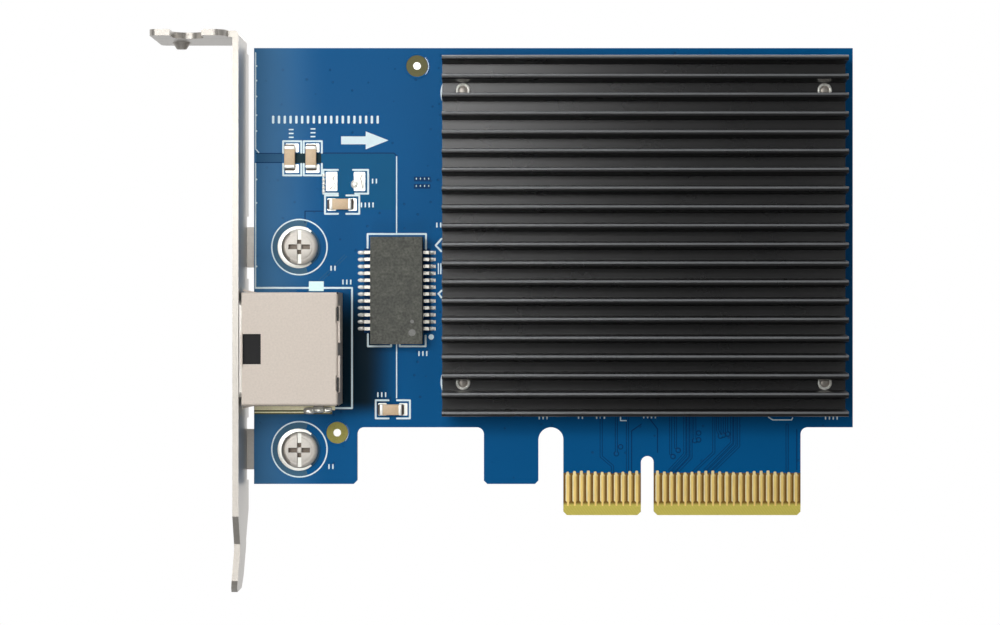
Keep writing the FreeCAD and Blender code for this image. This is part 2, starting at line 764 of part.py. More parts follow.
def bracket_screw(doc, d, name, z):
    """Combination-drive pan-head screw through the ring, the board and the ear."""
    body = new_body(doc, name)
    seat = -(d.half + d.ring_thick)
    top = seat - d.head_height
    end = d.half + d.sheet_thick + d.screw_tail
    section = new_sketch(body, "top", f"{name}_section", (d.screw_x, 0, z))
    outline(section, [
        (0, top),
        (d.head_radius - d.head_round, top),
        (d.head_radius, top + d.head_round),
        (d.head_radius, seat),
        (d.screw_radius, seat),
        (d.screw_radius, end),
        (0, end),
    ])
    revolve(body, section)
    drive = new_sketch(body, "front", f"{name}_drive", (0, 0, -top))
    outline(drive, centred(d.screw_x, z, d.slot_width, 2.2 * d.head_radius))
    pocket(body, drive, d.drive_deep)
    cross = new_sketch(body, "front", f"{name}_cross", (0, 0, -top))
    outline(cross, centred(d.screw_x, z, 2 * d.cross_reach, d.slot_width))
    pocket(body, cross, d.drive_deep)
    return body


def screw_rings(doc, d):
    """Plated rings under the bracket screws' heads."""
    body = new_body(doc, "screw_rings")
    rings = new_sketch(body, "front", "screw_ring_outlines", (0, 0, d.half))
    for z in (d.screw_upper, d.screw_lower):
        circle(rings, d.screw_x, z, d.ring_radius)
        circle(rings, d.screw_x, z, d.screw_radius + 2 * d.screw_play)
    pad(body, rings, d.ring_thick)
    return body


# Heatsink and what clamps it

def heatsink(doc, d):
    """Extruded heatsink: a solid bar with a channel between each pair of fins."""
    body = new_body(doc, "heatsink")
    fins = 20
    base_y = -(d.half + d.sink_gap)
    root_y = -(d.half + d.base_top)
    tip_y = root_y - d.fin_tall
    bar = new_sketch(body, "side", "heatsink_bar", (0, 0, -d.sink_left))
    outline(bar, rectangle(tip_y, base_y, d.sink_low, d.sink_high))
    pad(body, bar, d.sink_long)

    pitch = (d.sink_wide - d.fin_thick) / (fins - 1)
    channel = new_sketch(body, "side", "heatsink_channel", (0, 0, -d.sink_left))
    first = d.sink_low + d.fin_thick
    last = d.sink_low + pitch
    outline(channel, [
        (tip_y - d.fin_tip, first - 2 * d.fin_tip),
        (tip_y + d.fin_tip, first),
        (root_y - d.fin_root, first),
        (root_y, first + d.fin_root),
        (root_y, last - d.fin_root),
        (root_y - d.fin_root, last),
        (tip_y + d.fin_tip, last),
        (tip_y - d.fin_tip, last + 2 * d.fin_tip),
    ])
    cut = pocket(body, channel, d.sink_long, along_normal=True)
    repeat(body, cut, channel, "V_Axis", pitch * (fins - 2), fins - 1)

    hole = new_sketch(body, "front", "heatsink_hole", (0, 0, d.half + d.sink_gap))
    circle(hole, d.sink_hole_x, d.sink_hole_z, d.sink_screw + d.screw_play)
    drilled = pocket(body, hole, d.base_thick, along_normal=True)
    repeat(body, drilled, hole, "H_Axis", d.sink_span_x, 2, ("V_Axis", d.sink_span_z, 2))
    return body


def heatsink_screws(doc, d):
    """Screws from the solder side, with their ends flush with the heatsink's base."""
    body = new_body(doc, "heatsink_screws")
    end = -(d.half + d.base_top)
    head = d.half + d.sink_head_tall
    section = new_sketch(body, "top", "heatsink_screw_section", (d.sink_hole_x, 0, d.sink_hole_z))
    outline(section, [
        (0, end),
        (d.sink_screw, end),
        (d.sink_screw, d.half),
        (d.sink_head, d.half),
        (d.sink_head, head),
        (0, head),
    ])
    turned = revolve(body, section)
    repeat(body, turned, section, "H_Axis", d.sink_span_x, 2, ("N_Axis", d.sink_span_z, 2))
    cross = new_sketch(body, "front", "heatsink_screw_cross", (0, 0, -head))
    outline(cross, plus(d.sink_hole_x, d.sink_hole_z, d.sink_screw, d.slot_width / 2))
    recess = pocket(body, cross, d.sink_head_tall / 2)
    repeat(body, recess, cross, "H_Axis", d.sink_span_x, 2, ("V_Axis", d.sink_span_z, 2))
    return body


def spacers(doc, d):
    """Hexagonal spacers between the board and the heatsink's base."""
    body = new_body(doc, "heatsink_spacers")
    ring = new_sketch(body, "front", "spacer_ring", (0, 0, d.half))
    outline(ring, hexagon(d.sink_hole_x, d.sink_hole_z, d.spacer_wide))
    circle(ring, d.sink_hole_x, d.sink_hole_z, d.sink_screw + d.spacer_play)
    tube = pad(body, ring, d.sink_gap)
    repeat(body, tube, ring, "H_Axis", d.sink_span_x, 2, ("V_Axis", d.sink_span_z, 2))
    return body


# Jack

def tail_places(d):
    """Where the eight solder tails go through the board, in two staggered rows."""
    places = []
    for number in range(8):
        row = d.mouth + d.pin_back - (number % 2) * d.pin_row
        places.append((row, d.jack_centre + (number - 3.5) * d.wire_pitch))
    return places


def jack_shield(doc, d):
    """Folded shell: roof, two sides and back, with window, rear clips, fingers and legs."""
    body = new_body(doc, "jack_shield")
    roof = d.half + d.jack_tall
    box = new_sketch(body, "front", "shell_outline", (0, 0, d.half))
    outline(box, rectangle(d.mouth, d.jack_back, d.jack_low, d.jack_high))
    shell = pad(body, box, d.jack_tall)
    edges = straight_edges(shell, "x", y=-roof)
    edges += straight_edges(shell, "z", y=-roof, x=d.jack_back)
    fillet(body, shell, edges, d.shell_bend)
    inside = new_sketch(body, "front", "shell_inside", (0, 0, d.half))
    outline(inside, rectangle(d.mouth - d.shell_thick, d.jack_back - d.shell_thick,
                              d.jack_low + d.shell_thick, d.jack_high - d.shell_thick))
    pocket(body, inside, d.jack_tall - d.shell_thick, along_normal=True)

    holes = new_sketch(body, "front", "shell_holes", (0, 0, roof))
    outline(holes, rectangle(d.mouth - d.shell_thick, d.mouth + d.window_long,
                             d.jack_centre - d.window_wide / 2, d.jack_centre + d.window_wide / 2))
    for side in (-1, 1):
        near = d.jack_centre + side * (d.clip_off + d.clip_long / 2 - d.shell_thick)
        far = near - side * d.slit_long
        slit = (near, far) if side < 0 else (far, near)
        outline(holes, rectangle(d.jack_back - d.slit_wide, d.jack_back + d.slit_wide, *slit))
    pocket(body, holes, 2 * d.shell_thick)

    lip = new_sketch(body, "front", "grounding_lip", (0, 0, roof + d.lip_tall))
    outline(lip, centred(d.mouth, d.jack_centre, d.lip_long, d.window_wide + 2 * d.shell_thick))
    pad(body, lip, d.lip_tall + d.shell_thick, towards_back=True)

    clips = new_sketch(body, "front", "rear_clips", (0, 0, roof - d.shell_thick / 2))
    for side in (-1, 1):
        outline(clips, centred(d.jack_back + d.clip_thick / 2, d.jack_centre + side * d.clip_off,
                               d.clip_thick, d.clip_long))
    pad(body, clips, d.clip_tall, towards_back=True)

    fingers = new_sketch(body, "front", "side_fingers", (0, 0, roof - d.finger_tall))
    for side, face in ((-1, d.jack_low), (1, d.jack_high)):
        skin = side * d.shell_thick
        outline(fingers, [
            (d.mouth + d.finger_long, face),
            (d.mouth, face + side * d.finger_flare),
            (d.mouth, face + side * d.finger_flare - skin),
            (d.mouth + d.finger_long, face - skin),
        ])
    pad(body, fingers, d.finger_tall / 2)

    legs = new_sketch(body, "front", "shell_legs", (0, 0, d.half))
    for face in (d.jack_low + d.shell_thick / 2, d.jack_high - d.shell_thick / 2):
        outline(legs, centred(d.mouth + d.leg_back, face, d.leg_wide, d.shell_thick))
    pad(body, legs, d.board_thick + d.leg_deep, towards_back=True)
    return body


def jack_housing(doc, d):
    """Moulded insert with plug cavity, latch slot, light-pipe channels and pegs."""
    body = new_body(doc, "jack_housing")
    wall = d.shell_thick + d.shell_play
    front = d.mouth + d.shell_play
    top = d.jack_tall - wall
    shape = new_sketch(body, "front", "housing_outline", (0, 0, d.half))
    outline(shape, rectangle(front, d.jack_back - wall, d.jack_low + wall, d.jack_high - wall))
    pad(body, shape, top)

    floor = -(d.half + d.cavity_floor)
    roof = floor - d.cavity_tall
    cavity = new_sketch(body, "side", "plug_cavity", (0, 0, front))
    centre = d.jack_centre
    outline(cavity, [
        (floor, centre - d.cavity_wide / 2),
        (floor, centre + d.cavity_wide / 2),
        (roof, centre + d.cavity_wide / 2),
        (roof, centre + d.latch_wide / 2),
        (roof - d.latch_tall, centre + d.latch_wide / 2),
        (roof - d.latch_tall, centre - d.latch_wide / 2),
        (roof, centre - d.latch_wide / 2),
        (roof, centre - d.cavity_wide / 2),
    ])
    pocket(body, cavity, d.cavity_long, along_normal=True)

    channels = new_sketch(body, "side", "light_pipe_channels", (0, 0, front))
    for side in (-1, 1):
        outline(channels, pipe_outline(d, side, d.shell_play))
    pocket(body, channels, d.cavity_long + d.shell_play, along_normal=True)

    pegs = new_sketch(body, "front", "locating_pegs", (0, 0, d.half))
    for side in (-1, 1):
        circle(pegs, d.mouth + d.peg_back, d.jack_centre + side * d.peg_off, d.peg_radius)
    pad(body, pegs, d.board_thick, towards_back=True)
    return body


def pipe_outline(d, side, play):
    """Corners of a light pipe's end, with play round it."""
    middle = -(d.half + d.pipe_low + d.pipe_tall / 2)
    return centred(middle, d.jack_centre + side * d.pipe_off,
                   d.pipe_tall + 2 * play, d.pipe_wide + 2 * play)


def light_pipe(doc, d, name, side):
    """Clear bar that carries a link lamp's light to the jack's face."""
    body = new_body(doc, name)
    end = new_sketch(body, "side", f"{name}_end", (0, 0, d.mouth + d.shell_play))
    outline(end, pipe_outline(d, side, as_size(0)))
    pad(body, end, d.cavity_long + d.shell_play)
    return body


def jack_contacts(doc, d):
    """Eight spring contacts: along the cavity's floor, round a bend, back up into the plug."""
    body = new_body(doc, "jack_contacts")
    floor = -(d.half + d.cavity_floor)
    back = d.mouth + d.cavity_long
    bend = d.mouth + d.wire_bend
    tip = back - d.wire_tip
    thick = d.wire_thick
    first = d.jack_centre - 3.5 * d.wire_pitch - d.wire_wide / 2
    wire = new_sketch(body, "top", "contact_wire", (0, 0, first))
    outline(wire, [
        (back, floor),
        (bend, floor),
        (bend - thick, floor - thick),
        (bend - thick, floor - 2 * thick),
        (bend, floor - 3 * thick),
        (tip, floor - d.wire_rise),
        (tip, floor - d.wire_rise + thick),
        (bend, floor - 2 * thick),
        (bend, floor - thick),
        (back, floor - thick),
    ])
    single = pad(body, wire, d.wire_wide)
    repeat(body, single, wire, "N_Axis", 7 * d.wire_pitch, 8)
    return body


def jack_tails(doc, d):
    """Flat solder tails under the jack, through the board."""
    body = new_body(doc, "jack_tails")
    tails = new_sketch(body, "front", "tail_outlines", (0, 0, d.half))
    for x, z in tail_places(d):
        outline(tails, centred(x, z, d.pin_thick, d.pin_wide))
    pad(body, tails, d.board_thick + d.pin_deep, towards_back=True)
    return body


# Magnetics and chip parts

def magnetics_body(doc, d):
    """Moulded module: sides slope to a parting line at half height."""
    body = new_body(doc, "magnetics_body")
    low = d.magnet_rise
    middle = (d.magnet_tall + d.magnet_rise) / 2
    section = new_sketch(body, "top", "magnetics_section", (0, 0, d.magnet_low))
    left = -d.magnet_left
    right = d.magnet_wide - d.magnet_left
    slope = d.magnet_draft
    outline(section, [
        (left + slope, -(d.half + low)),
        (right - slope, -(d.half + low)),
        (right, -(d.half + middle)),
        (right - slope, -(d.half + d.magnet_tall)),
        (left + slope, -(d.half + d.magnet_tall)),
        (left, -(d.half + middle)),
    ])
    pad(body, section, d.magnet_long)
    return body


def magnetics_leads(doc, d):
    """Gull-wing leads, twelve a side, from the body's side down to the board."""
    body = new_body(doc, "magnetics_leads")
    count = 12
    centre_x = d.magnet_wide / 2 - d.magnet_left
    span = d.lead_pitch * (count - 1)
    first = d.magnet_low + (d.magnet_long - span - d.lead_wide) / 2
    thick = d.lead_thick
    exit_y = -(d.half + d.lead_exit)
    for side, name in ((-1, "left"), (1, "right")):
        wall = centre_x + side * d.magnet_wide / 2
        toe = centre_x + side * d.lead_span / 2
        heel = toe - side * d.lead_foot
        lead = new_sketch(body, "top", f"lead_{name}", (0, 0, first))
        face = -d.half
        outline(lead, [
            (toe, face),
            (heel - side * thick, face),
            (heel - side * thick, exit_y),
            (wall, exit_y),
            (wall, exit_y - thick),
            (heel - side * thick / 2, exit_y - thick),
            (heel, exit_y - thick / 2),
            (heel, face - thick),
            (toe, face - thick),
        ])
        single = pad(body, lead, d.lead_wide)
        repeat(body, single, lead, "N_Axis", span, count)
    return body


def chip_capacitor(doc, d, name, x, z, upright):
    """Ceramic chip with a slightly larger metal cap on each end."""
    body = new_body(doc, name)
    step = d.chip_step
    cap_off = (d.chip_long - d.chip_cap) / 2

    def lying(shift, long, wide):
        if upright:
            return centred(x, z + shift, wide, long)
        return centred(x + shift, z, long, wide)

    core = new_sketch(body, "front", f"{name}_core", (0, 0, d.half + step))
    outline(core, lying(0, d.chip_long - d.chip_cap, d.chip_wide - 2 * step))
    pad(body, core, d.chip_tall - 2 * step)
    caps = new_sketch(body, "front", f"{name}_caps", (0, 0, d.half))
    for end in (-1, 1):
        outline(caps, lying(end * cap_off, d.chip_cap, d.chip_wide))
    pad(body, caps, d.chip_tall)
    return body


def bare_pads(doc, d):
    """Two soldered pads of a part that isn't fitted."""
    body = new_body(doc, "bare_solder_pads")
    pads = new_sketch(body, "front", "bare_pad_outlines", (0, 0, d.half))
    for out in (d.pad_far, d.pad_near):
        outline(pads, centred(-out, d.pad_up, d.pad_wide, d.pad_long))
    pad(body, pads, d.pad_thick)
    return body


def under_heatsink(doc, d):
    """Controller with lid and thermal pad, and the low parts round it."""
    x = d.sink_long / 2 - d.sink_left
    z = d.sink_low + d.sink_wide / 2
    lid_top = d.substrate_tall + d.lid_tall
    near = d.chip_square / 2 + d.coil_square
    parts = [
        block(doc, "controller_substrate", d, x, z, d.chip_square, d.chip_square,
              0, d.substrate_tall),
        block(doc, "controller_lid", d, x, z, d.lid_square, d.lid_square,
              d.substrate_tall, lid_top),
        block(doc, "thermal_pad", d, x, z, d.pad_square, d.pad_square, lid_top, d.sink_gap),
        block(doc, "regulator", d, x + near, z + near, d.regulator_square, d.regulator_square,
              0, d.regulator_tall),
        block(doc, "flash_memory", d, x + near, z - near, d.flash_wide, d.flash_long,
              0, d.flash_tall),
        block(doc, "crystal", d, x - near, z - near, d.crystal_long, d.crystal_wide,
              0, d.crystal_tall),
    ]
    for number, shift in ((1, -d.coil_off), (2, d.coil_off)):
        parts.append(block(doc, f"power_inductor_{number}", d, x + shift, z + near,
                           d.coil_square, d.coil_square, 0, d.coil_tall))
    return parts


def rear_capacitors(doc, d):
    """Small decoupling capacitors on the solder side, behind the controller."""
    body = new_body(doc, "rear_capacitors")
    long, wide = d.chip_long / 2, d.chip_wide / 2
    x = d.sink_long / 2 - d.sink_left
    z = d.sink_low + d.sink_wide / 2
    chip = new_sketch(body, "front", "rear_capacitor", (0, 0, -d.half))
    outline(chip, centred(x - d.chip_long, z - d.chip_long, long, wide))
    single = pad(body, chip, wide, towards_back=True)
    repeat(body, single, chip, "H_Axis", 2 * d.chip_long, 3, ("V_Axis", 2 * d.chip_long, 4))
    return body


def build():
    doc = FreeCAD.newDocument("network_interface_card")
    d = Dims(make_sheet(doc))
    parts = [
        circuit_board(doc, d),
        edge_contacts(doc, d, "edge_contacts_front", 1),
        edge_contacts(doc, d, "edge_contacts_rear", -1),
        bracket(doc, d),
        bracket_screw(doc, d, "bracket_screw_upper", d.screw_upper),
        bracket_screw(doc, d, "bracket_screw_lower", d.screw_lower),
        screw_rings(doc, d),
        heatsink(doc, d),
        heatsink_screws(doc, d),
        spacers(doc, d),
        jack_shield(doc, d),
        jack_housing(doc, d),
        light_pipe(doc, d, "light_pipe_upper", 1),
        light_pipe(doc, d, "light_pipe_lower", -1),
        jack_contacts(doc, d),
        jack_tails(doc, d),
        magnetics_body(doc, d),
        magnetics_leads(doc, d),
        bare_pads(doc, d),
        rear_capacitors(doc, d),
    ]
    places = (
        (-d.chip_far, d.chip_pair_up, True),
        (-d.chip_near, d.chip_pair_up, True),
        (-d.chip_middle, d.chip_middle_up, False),
        (-d.chip_low, d.chip_low_up, False),
    )
    for number, place in enumerate(places, 1):
        parts.append(chip_capacitor(doc, d, f"chip_capacitor_{number}", *place))
    parts += under_heatsink(doc, d)
    doc.recompute()
    for item in doc.Objects:
        if {"Invalid", "Error"} & set(item.State):
            raise RuntimeError(f"{item.Name} failed: {item.State}")
    os.makedirs("parts", exist_ok=True)
    for part in parts:
        shape = part.Shape
        if shape.isNull() or not shape.isValid():
            raise RuntimeError(f"{part.Label} has no valid shape")
        shape.exportStep(f"parts/{part.Label}.step")
        print(f"{part.Label}: {len(shape.Solids)} solids, {shape.Volume:.2f} mm3")


build()
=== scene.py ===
import math

import bpy
from bpy.props import FloatProperty, FloatVectorProperty, PointerProperty
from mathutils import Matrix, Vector


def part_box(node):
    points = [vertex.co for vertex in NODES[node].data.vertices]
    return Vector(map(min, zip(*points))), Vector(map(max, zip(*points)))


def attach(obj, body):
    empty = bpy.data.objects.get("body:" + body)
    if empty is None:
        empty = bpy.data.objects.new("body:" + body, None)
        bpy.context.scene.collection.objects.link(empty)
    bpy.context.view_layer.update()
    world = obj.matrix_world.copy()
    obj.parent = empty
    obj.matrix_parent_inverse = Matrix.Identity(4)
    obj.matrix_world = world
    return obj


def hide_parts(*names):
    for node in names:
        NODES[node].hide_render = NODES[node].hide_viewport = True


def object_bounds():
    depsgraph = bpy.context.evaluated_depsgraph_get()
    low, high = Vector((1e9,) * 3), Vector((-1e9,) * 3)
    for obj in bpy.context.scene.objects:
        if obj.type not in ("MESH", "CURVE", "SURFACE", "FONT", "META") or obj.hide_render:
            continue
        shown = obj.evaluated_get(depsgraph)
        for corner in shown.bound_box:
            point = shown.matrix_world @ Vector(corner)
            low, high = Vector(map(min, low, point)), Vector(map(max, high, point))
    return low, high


bl_info = {
    "name": "Network Card Dressing",
    "version": (1, 0, 0),
    "blender": (4, 5, 0),
    "location": "View3D > Sidebar > Network Card",
    "description": "Finishes and fine pieces for a finned network interface card",
    "category": "Object",
}

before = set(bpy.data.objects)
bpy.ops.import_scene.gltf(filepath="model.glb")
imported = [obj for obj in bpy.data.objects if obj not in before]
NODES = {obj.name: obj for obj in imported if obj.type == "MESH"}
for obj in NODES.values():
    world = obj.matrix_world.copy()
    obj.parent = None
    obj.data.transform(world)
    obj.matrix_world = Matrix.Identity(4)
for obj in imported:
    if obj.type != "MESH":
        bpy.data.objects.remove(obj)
CARD_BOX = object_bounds()
MM = 0.001
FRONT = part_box("pcb")[0].y / MM  # component face of the board, in millimetres
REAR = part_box("pcb")[1].y / MM   # solder face of the board, in millimetres


# ---------------------------------------------------------------------------
# Settings

def linear(value):
    """One 0 to 255 display value as linear light."""
    value /= 255
    return value / 12.92 if value <= 0.04045 else ((value + 0.055) / 1.055) ** 2.4


def paint(name, description, *display):
    """A colour setting, given by its display values."""
    return FloatVectorProperty(
        name=name, description=description, subtype="COLOR", size=3, min=0.0, max=1.0,
        default=[linear(value) for value in display])


def length(name, description, millimetres):
    """A length setting, given in millimetres."""
    return FloatProperty(name=name, description=description, unit="LENGTH", precision=5,
                         min=0.0, default=millimetres * MM)


def amount(name, description, default, least=0.0):
    """A plain number setting."""
    return FloatProperty(name=name, description=description, min=least, default=default)


class CardColours(bpy.types.PropertyGroup):
    """Colours of the card's finishes."""
    mask_blue: paint("Solder mask", "Blue of the board's faces", 3, 88, 144)
    # Also painted shade: along the tracks, round the vias and under the magnetics' leads.
    mask_deep: paint("Deep mask", "Mask beside a track and over a via", 8, 58, 104)
    # Also a painted highlight in the middle of each via.
    mask_pale: paint("Pale mask", "Mask over the gap between two grounds", 44, 96, 136)
    mask_green: paint("Mask on laminate", "Mask where no copper lies under it", 4, 90, 136)
    # Painted shadow: the jack's shadow on the mask between the jack and the magnetics.
    mask_shade: paint("Mask beside the jack", "Mask over bare inner layers", 2, 30, 44)
    # Painted reflection: the bracket's pale glare on the mask near it.
    mask_veil: paint("Mask veil", "Paler mask towards the bracket", 98, 150, 190)
    mask_moat: paint("Ring mask", "Greyer mask inside the printed rings", 70, 108, 134)
    mask_dark: paint("Gap mask", "Mask between the chip pads", 24, 54, 64)
    laminate: paint("Laminate", "Bare glass-epoxy under the contacts", 220, 207, 104)
    laminate_dark: paint("Dark laminate", "Laminate between the contacts", 126, 94, 42)
    laminate_olive: paint("Olive laminate", "Laminate of the upper fiducial", 104, 101, 62)
    laminate_bright: paint("Bright laminate", "Laminate of the lower fiducial", 150, 144, 70)
    ink: paint("Ink", "White board printing", 226, 245, 250)
    pale_pad: paint("Pale pad", "Tinned test pad beside the jack", 196, 224, 222)
    gold: paint("Gold", "Gold of the edge contacts", 255, 222, 132)
    # Dark gold: specks on the jack's contacts, and painted shade along an edge contact's far edge.
    gold_dark: paint("Worn gold", "Gold along a contact's far edge", 172, 130, 60)
    # Pale gold: the contacts' tops and the ground strip, and a painted highlight along an edge contact's near
    # edge.
    gold_pale: paint("Bright gold", "Gold along a contact's near edge", 255, 247, 208)
    tin: paint("Tin", "Tin plating and solder", 236, 236, 228)
    # Brighter than the leads' tin: solder at the toes, and a painted highlight at the bends.
    bead: paint("Solder beads", "Bright beads of solder on the leads", 255, 254, 248)
    # Kept darker than the beads: painted shade on the leads' tin.
    lead: paint("Leads", "Tinned leads of the magnetics", 184, 182, 175)
    flux: paint("Flux", "Dark trace of flux on solder", 120, 108, 82)
    steel: paint("Bracket steel", "Plated sheet of the bracket", 186, 181, 174)
    # Painted shade on the bracket's cut front edges, light at the tail and deeper at the tab.
    edge_low: paint("Low steel edge", "Tint of the cut edge at the tail", 245, 244, 243)
    edge_high: paint("High steel edge", "Tint of the cut edge at the tab", 208, 208, 207)
    shell: paint("Jack shell", "Plated sheet of the jack's shell", 199, 188, 177)
    screw: paint("Screw steel", "Nickel-plated screws", 200, 195, 187)
    # Painted shade: the dark brown in a screw's drive and on the solder at a chip's ends.
    recess: paint("Recess", "Bottom of a screw's drive", 120, 108, 96)
    # Also painted shade on the left side of each bracket screw's head.
    dish: paint("Dish", "Dished screw ends", 154, 148, 140)
    anodised: paint("Anodised", "Black of the heatsink", 22, 22, 23)
    # Painted highlight: grey on the upper side of the fin tips, where light from above falls.
    worn_black: paint("Worn black", "Anodising rubbed thin on the fin tips", 92, 94, 96)
    moulding: paint("Moulding", "Dark grey body of the magnetics", 84, 85, 79)
    plastic: paint("Black plastic", "Inside of the jack", 22, 22, 23)
    clear: paint("Light pipe", "Clear plastic of the light pipes", 214, 218, 208)
    ceramic: paint("Ceramic", "Tan body of a chip capacitor", 212, 184, 148)
    brass: paint("Brass", "Hexagonal spacers", 196, 164, 92)
    substrate: paint("Substrate", "Controller's carrier", 40, 84, 52)
    pad: paint("Thermal pad", "Soft pad under the heatsink", 150, 156, 164)
    floor: paint("Floor", "Studio floor", 238, 238, 238)


class CardSizes(bpy.types.PropertyGroup):
    """Sizes of the fine pieces."""
    ink_width: length("Ink line", "Width of a printed line", 0.27)
    ink_thin: length("Thin ink line", "Width of a fine printed line", 0.17)
    ink_height: length("Ink height", "Thickness of the printing", 0.02)
    track_width: length("Track", "Width of a copper track under the mask", 0.2)
    track_height: length("Track height", "How far a track stands up", 0.03)
    screw_ring: length("Screw ring", "Radius of the ring round a bracket screw", 4.0)
    fin_thick: length("Fin thickness", "Thickness of a heatsink fin", 0.75)
    fin_taper: length("Fin taper", "How much a fin's root is thicker on each side", 0.28)
    fin_round: length("Fin rounding", "Radius of a fin's tip", 0.34)
    fiducial: length("Fiducial", "Radius of a fiducial's bare laminate", 1.6)
    solder_height: length("Solder", "Height of a chip's solder fillet", 0.62)


class StudioSettings(bpy.types.PropertyGroup):
    """Lamps, world and camera."""
    key_power: amount("Key lamp", "Power of the key lamp", 0.42)
    near_power: amount("Near lamp", "Power of the small lamp near the card", 0.042)
    left_power: amount("Left lamp", "Power of the lamp before the left side", 0.014)
    low_power: amount("Low lamp", "Power of the lamp before the lower left corner", 0.02)
    right_power: amount("Right lamp", "Power of the lamp before the right edge", 0.03)
    top_power: amount("Top lamp", "Power of the lamp above the card", 0.3)
    rear_power: amount("Rear lamp", "Power of the lamp behind the card", 1.4)
    ambient: amount("Ambient", "World light on the card", 0.3)
    focal: amount("Focal length", "Camera's focal length in millimetres", 115.45, 1.0)
    floor_drop: length("Floor drop", "Card's lowest point to the floor", 90.0)
    floor_side: length("Floor side", "Half side of the floor", 4000.0)


def size(name):
    """A setting of the card's sizes, in millimetres."""
    return getattr(bpy.context.scene.card_sizes, name) / MM


def colour(value):
    """A setting of the card's colours by name, or a colour as it is."""
    return tuple(getattr(bpy.context.scene.card_colours, value)) if isinstance(value, str) else value


# ---------------------------------------------------------------------------
# Modelling helpers: every length is in millimetres, and a height stands over the component face

FACING = (math.pi / 2, 0, 0)  # turns a flat primitive to lie on the board
SAME = 1e-4                   # two places closer than this are one
SOFT = 35                     # an edge that turns less than this many degrees is shaded smooth


def deselect():
    """Nothing selected, in object mode."""
    if bpy.context.object and bpy.context.object.mode != "OBJECT":
        bpy.ops.object.mode_set(mode="OBJECT")
    bpy.ops.object.select_all(action="DESELECT")


def only(*pieces):
    """Selects these pieces alone and makes the first one active."""
    deselect()
    for piece in pieces:
        piece.select_set(True)
    bpy.context.view_layer.objects.active = pieces[0]


def take(name):
    """Names the active object, which is the newest primitive, joint or copy."""
    piece = bpy.context.object
    piece.name = piece.data.name = name
    return piece


def settle(piece):
    """Puts the object at the origin, unturned and unscaled, with its place in its mesh."""
    only(piece)
    bpy.ops.object.transform_apply(location=True, rotation=True, scale=True)
    return piece


def span(node):
    """A node's lowest and highest corners."""
    return [[value / MM for value in corner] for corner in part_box(node)]


def middle(node):
    """A node's middle."""
    return [(low + high) / 2 for low, high in zip(*span(node))]


def metres(*values):
    """Millimetres as metres."""
    return [value * MM for value in values]


def spot(x, height, z):
    """A place over the component face, in metres."""
    return metres(x, FRONT - height, z)


def block(name, low, high):
    """A cuboid between two corners."""
    deselect()
    low, high = Vector(metres(*low)), Vector(metres(*high))
    bpy.ops.mesh.primitive_cube_add(size=1, location=(low + high) / 2, scale=high - low)
    return settle(take(name))


def open_mesh(piece, action="SELECT", mode="EDGE"):
    """Opens a piece in edit mode with all or nothing selected."""
    only(piece)
    bpy.ops.object.mode_set(mode="EDIT")
    bpy.ops.mesh.select_mode(type=mode)
    bpy.ops.mesh.select_all(action=action)


def select_edges(piece, test):
    """Selects the edges whose two ends pass the test, and goes into edit mode."""
    open_mesh(piece, "DESELECT")
    done()
    points = piece.data.vertices
    for edge in piece.data.edges:
        edge.select = bool(test(*(points[i].co / MM for i in edge.vertices)))
    bpy.ops.object.mode_set(mode="EDIT")


def done():
    """Back to object mode."""
    bpy.ops.object.mode_set(mode="OBJECT")


def bevel_edges(piece, test, width, segments=2):
    """Rounds the edges that pass the test."""
    select_edges(piece, test)
    bpy.ops.mesh.bevel(offset=width * MM, segments=segments, affect="EDGES")
    done()
    return piece


def across(a, b):
    """Whether an edge runs straight through the board's thickness."""
    return abs(a.x - b.x) < SAME and abs(a.z - b.z) < SAME


def level(height):
    """Test for edges that lie at one height."""
    return lambda a, b: max(abs(end.y - FRONT + height) for end in (a, b)) < SAME


def rounded(piece, rim):
    """The piece with its rim rounded, given as height, width and segments."""
    return bevel_edges(piece, level(rim[0]), *rim[1:]) if rim else piece


def drum(name, x, z, radius, low, high, sides=32, rim=None):
    """A cylinder that stands on the board, from one height to another."""
    deselect()
    bpy.ops.mesh.primitive_cylinder_add(
        vertices=sides, radius=radius * MM, depth=(high - low) * MM,
        location=spot(x, (low + high) / 2, z), rotation=FACING)
    return rounded(settle(take(name)), rim)


def join(pieces, name):
    """One object from several."""
    only(*pieces)
    if len(pieces) > 1:
        bpy.ops.object.join()
    return take(name)


def copy(piece, name, *shift):
    """A copy with its own mesh, moved by shift."""
    only(piece)
    bpy.ops.object.duplicate_move(TRANSFORM_OT_translate={"value": metres(*shift)})
    return settle(take(name))


def each(name, make, rows):
    """Numbered pieces, one for each row of values."""
    return [make(f"{name}_{number}", *row) for number, row in enumerate(rows, 1)]


def apply_modifier(piece, kind, **settings):
    """Adds a modifier, sets it and applies it."""
    only(piece)
    modifier = piece.modifiers.new(kind.title(), kind)
    for key, value in settings.items():
        setattr(modifier, key, value)
    bpy.ops.object.modifier_apply(modifier=modifier.name)
    return piece


def combine(piece, other, operation="DIFFERENCE"):
    """Cuts a piece by another or unites them, and removes the other."""
    apply_modifier(piece, "BOOLEAN", object=other, operation=operation, solver="EXACT")
    bpy.data.objects.remove(other)


def smooth(piece, degrees=SOFT):
    """Smooth shading with sharp edges kept."""
    only(piece)
    bpy.ops.object.shade_smooth_by_angle(angle=math.radians(degrees))
    return piece


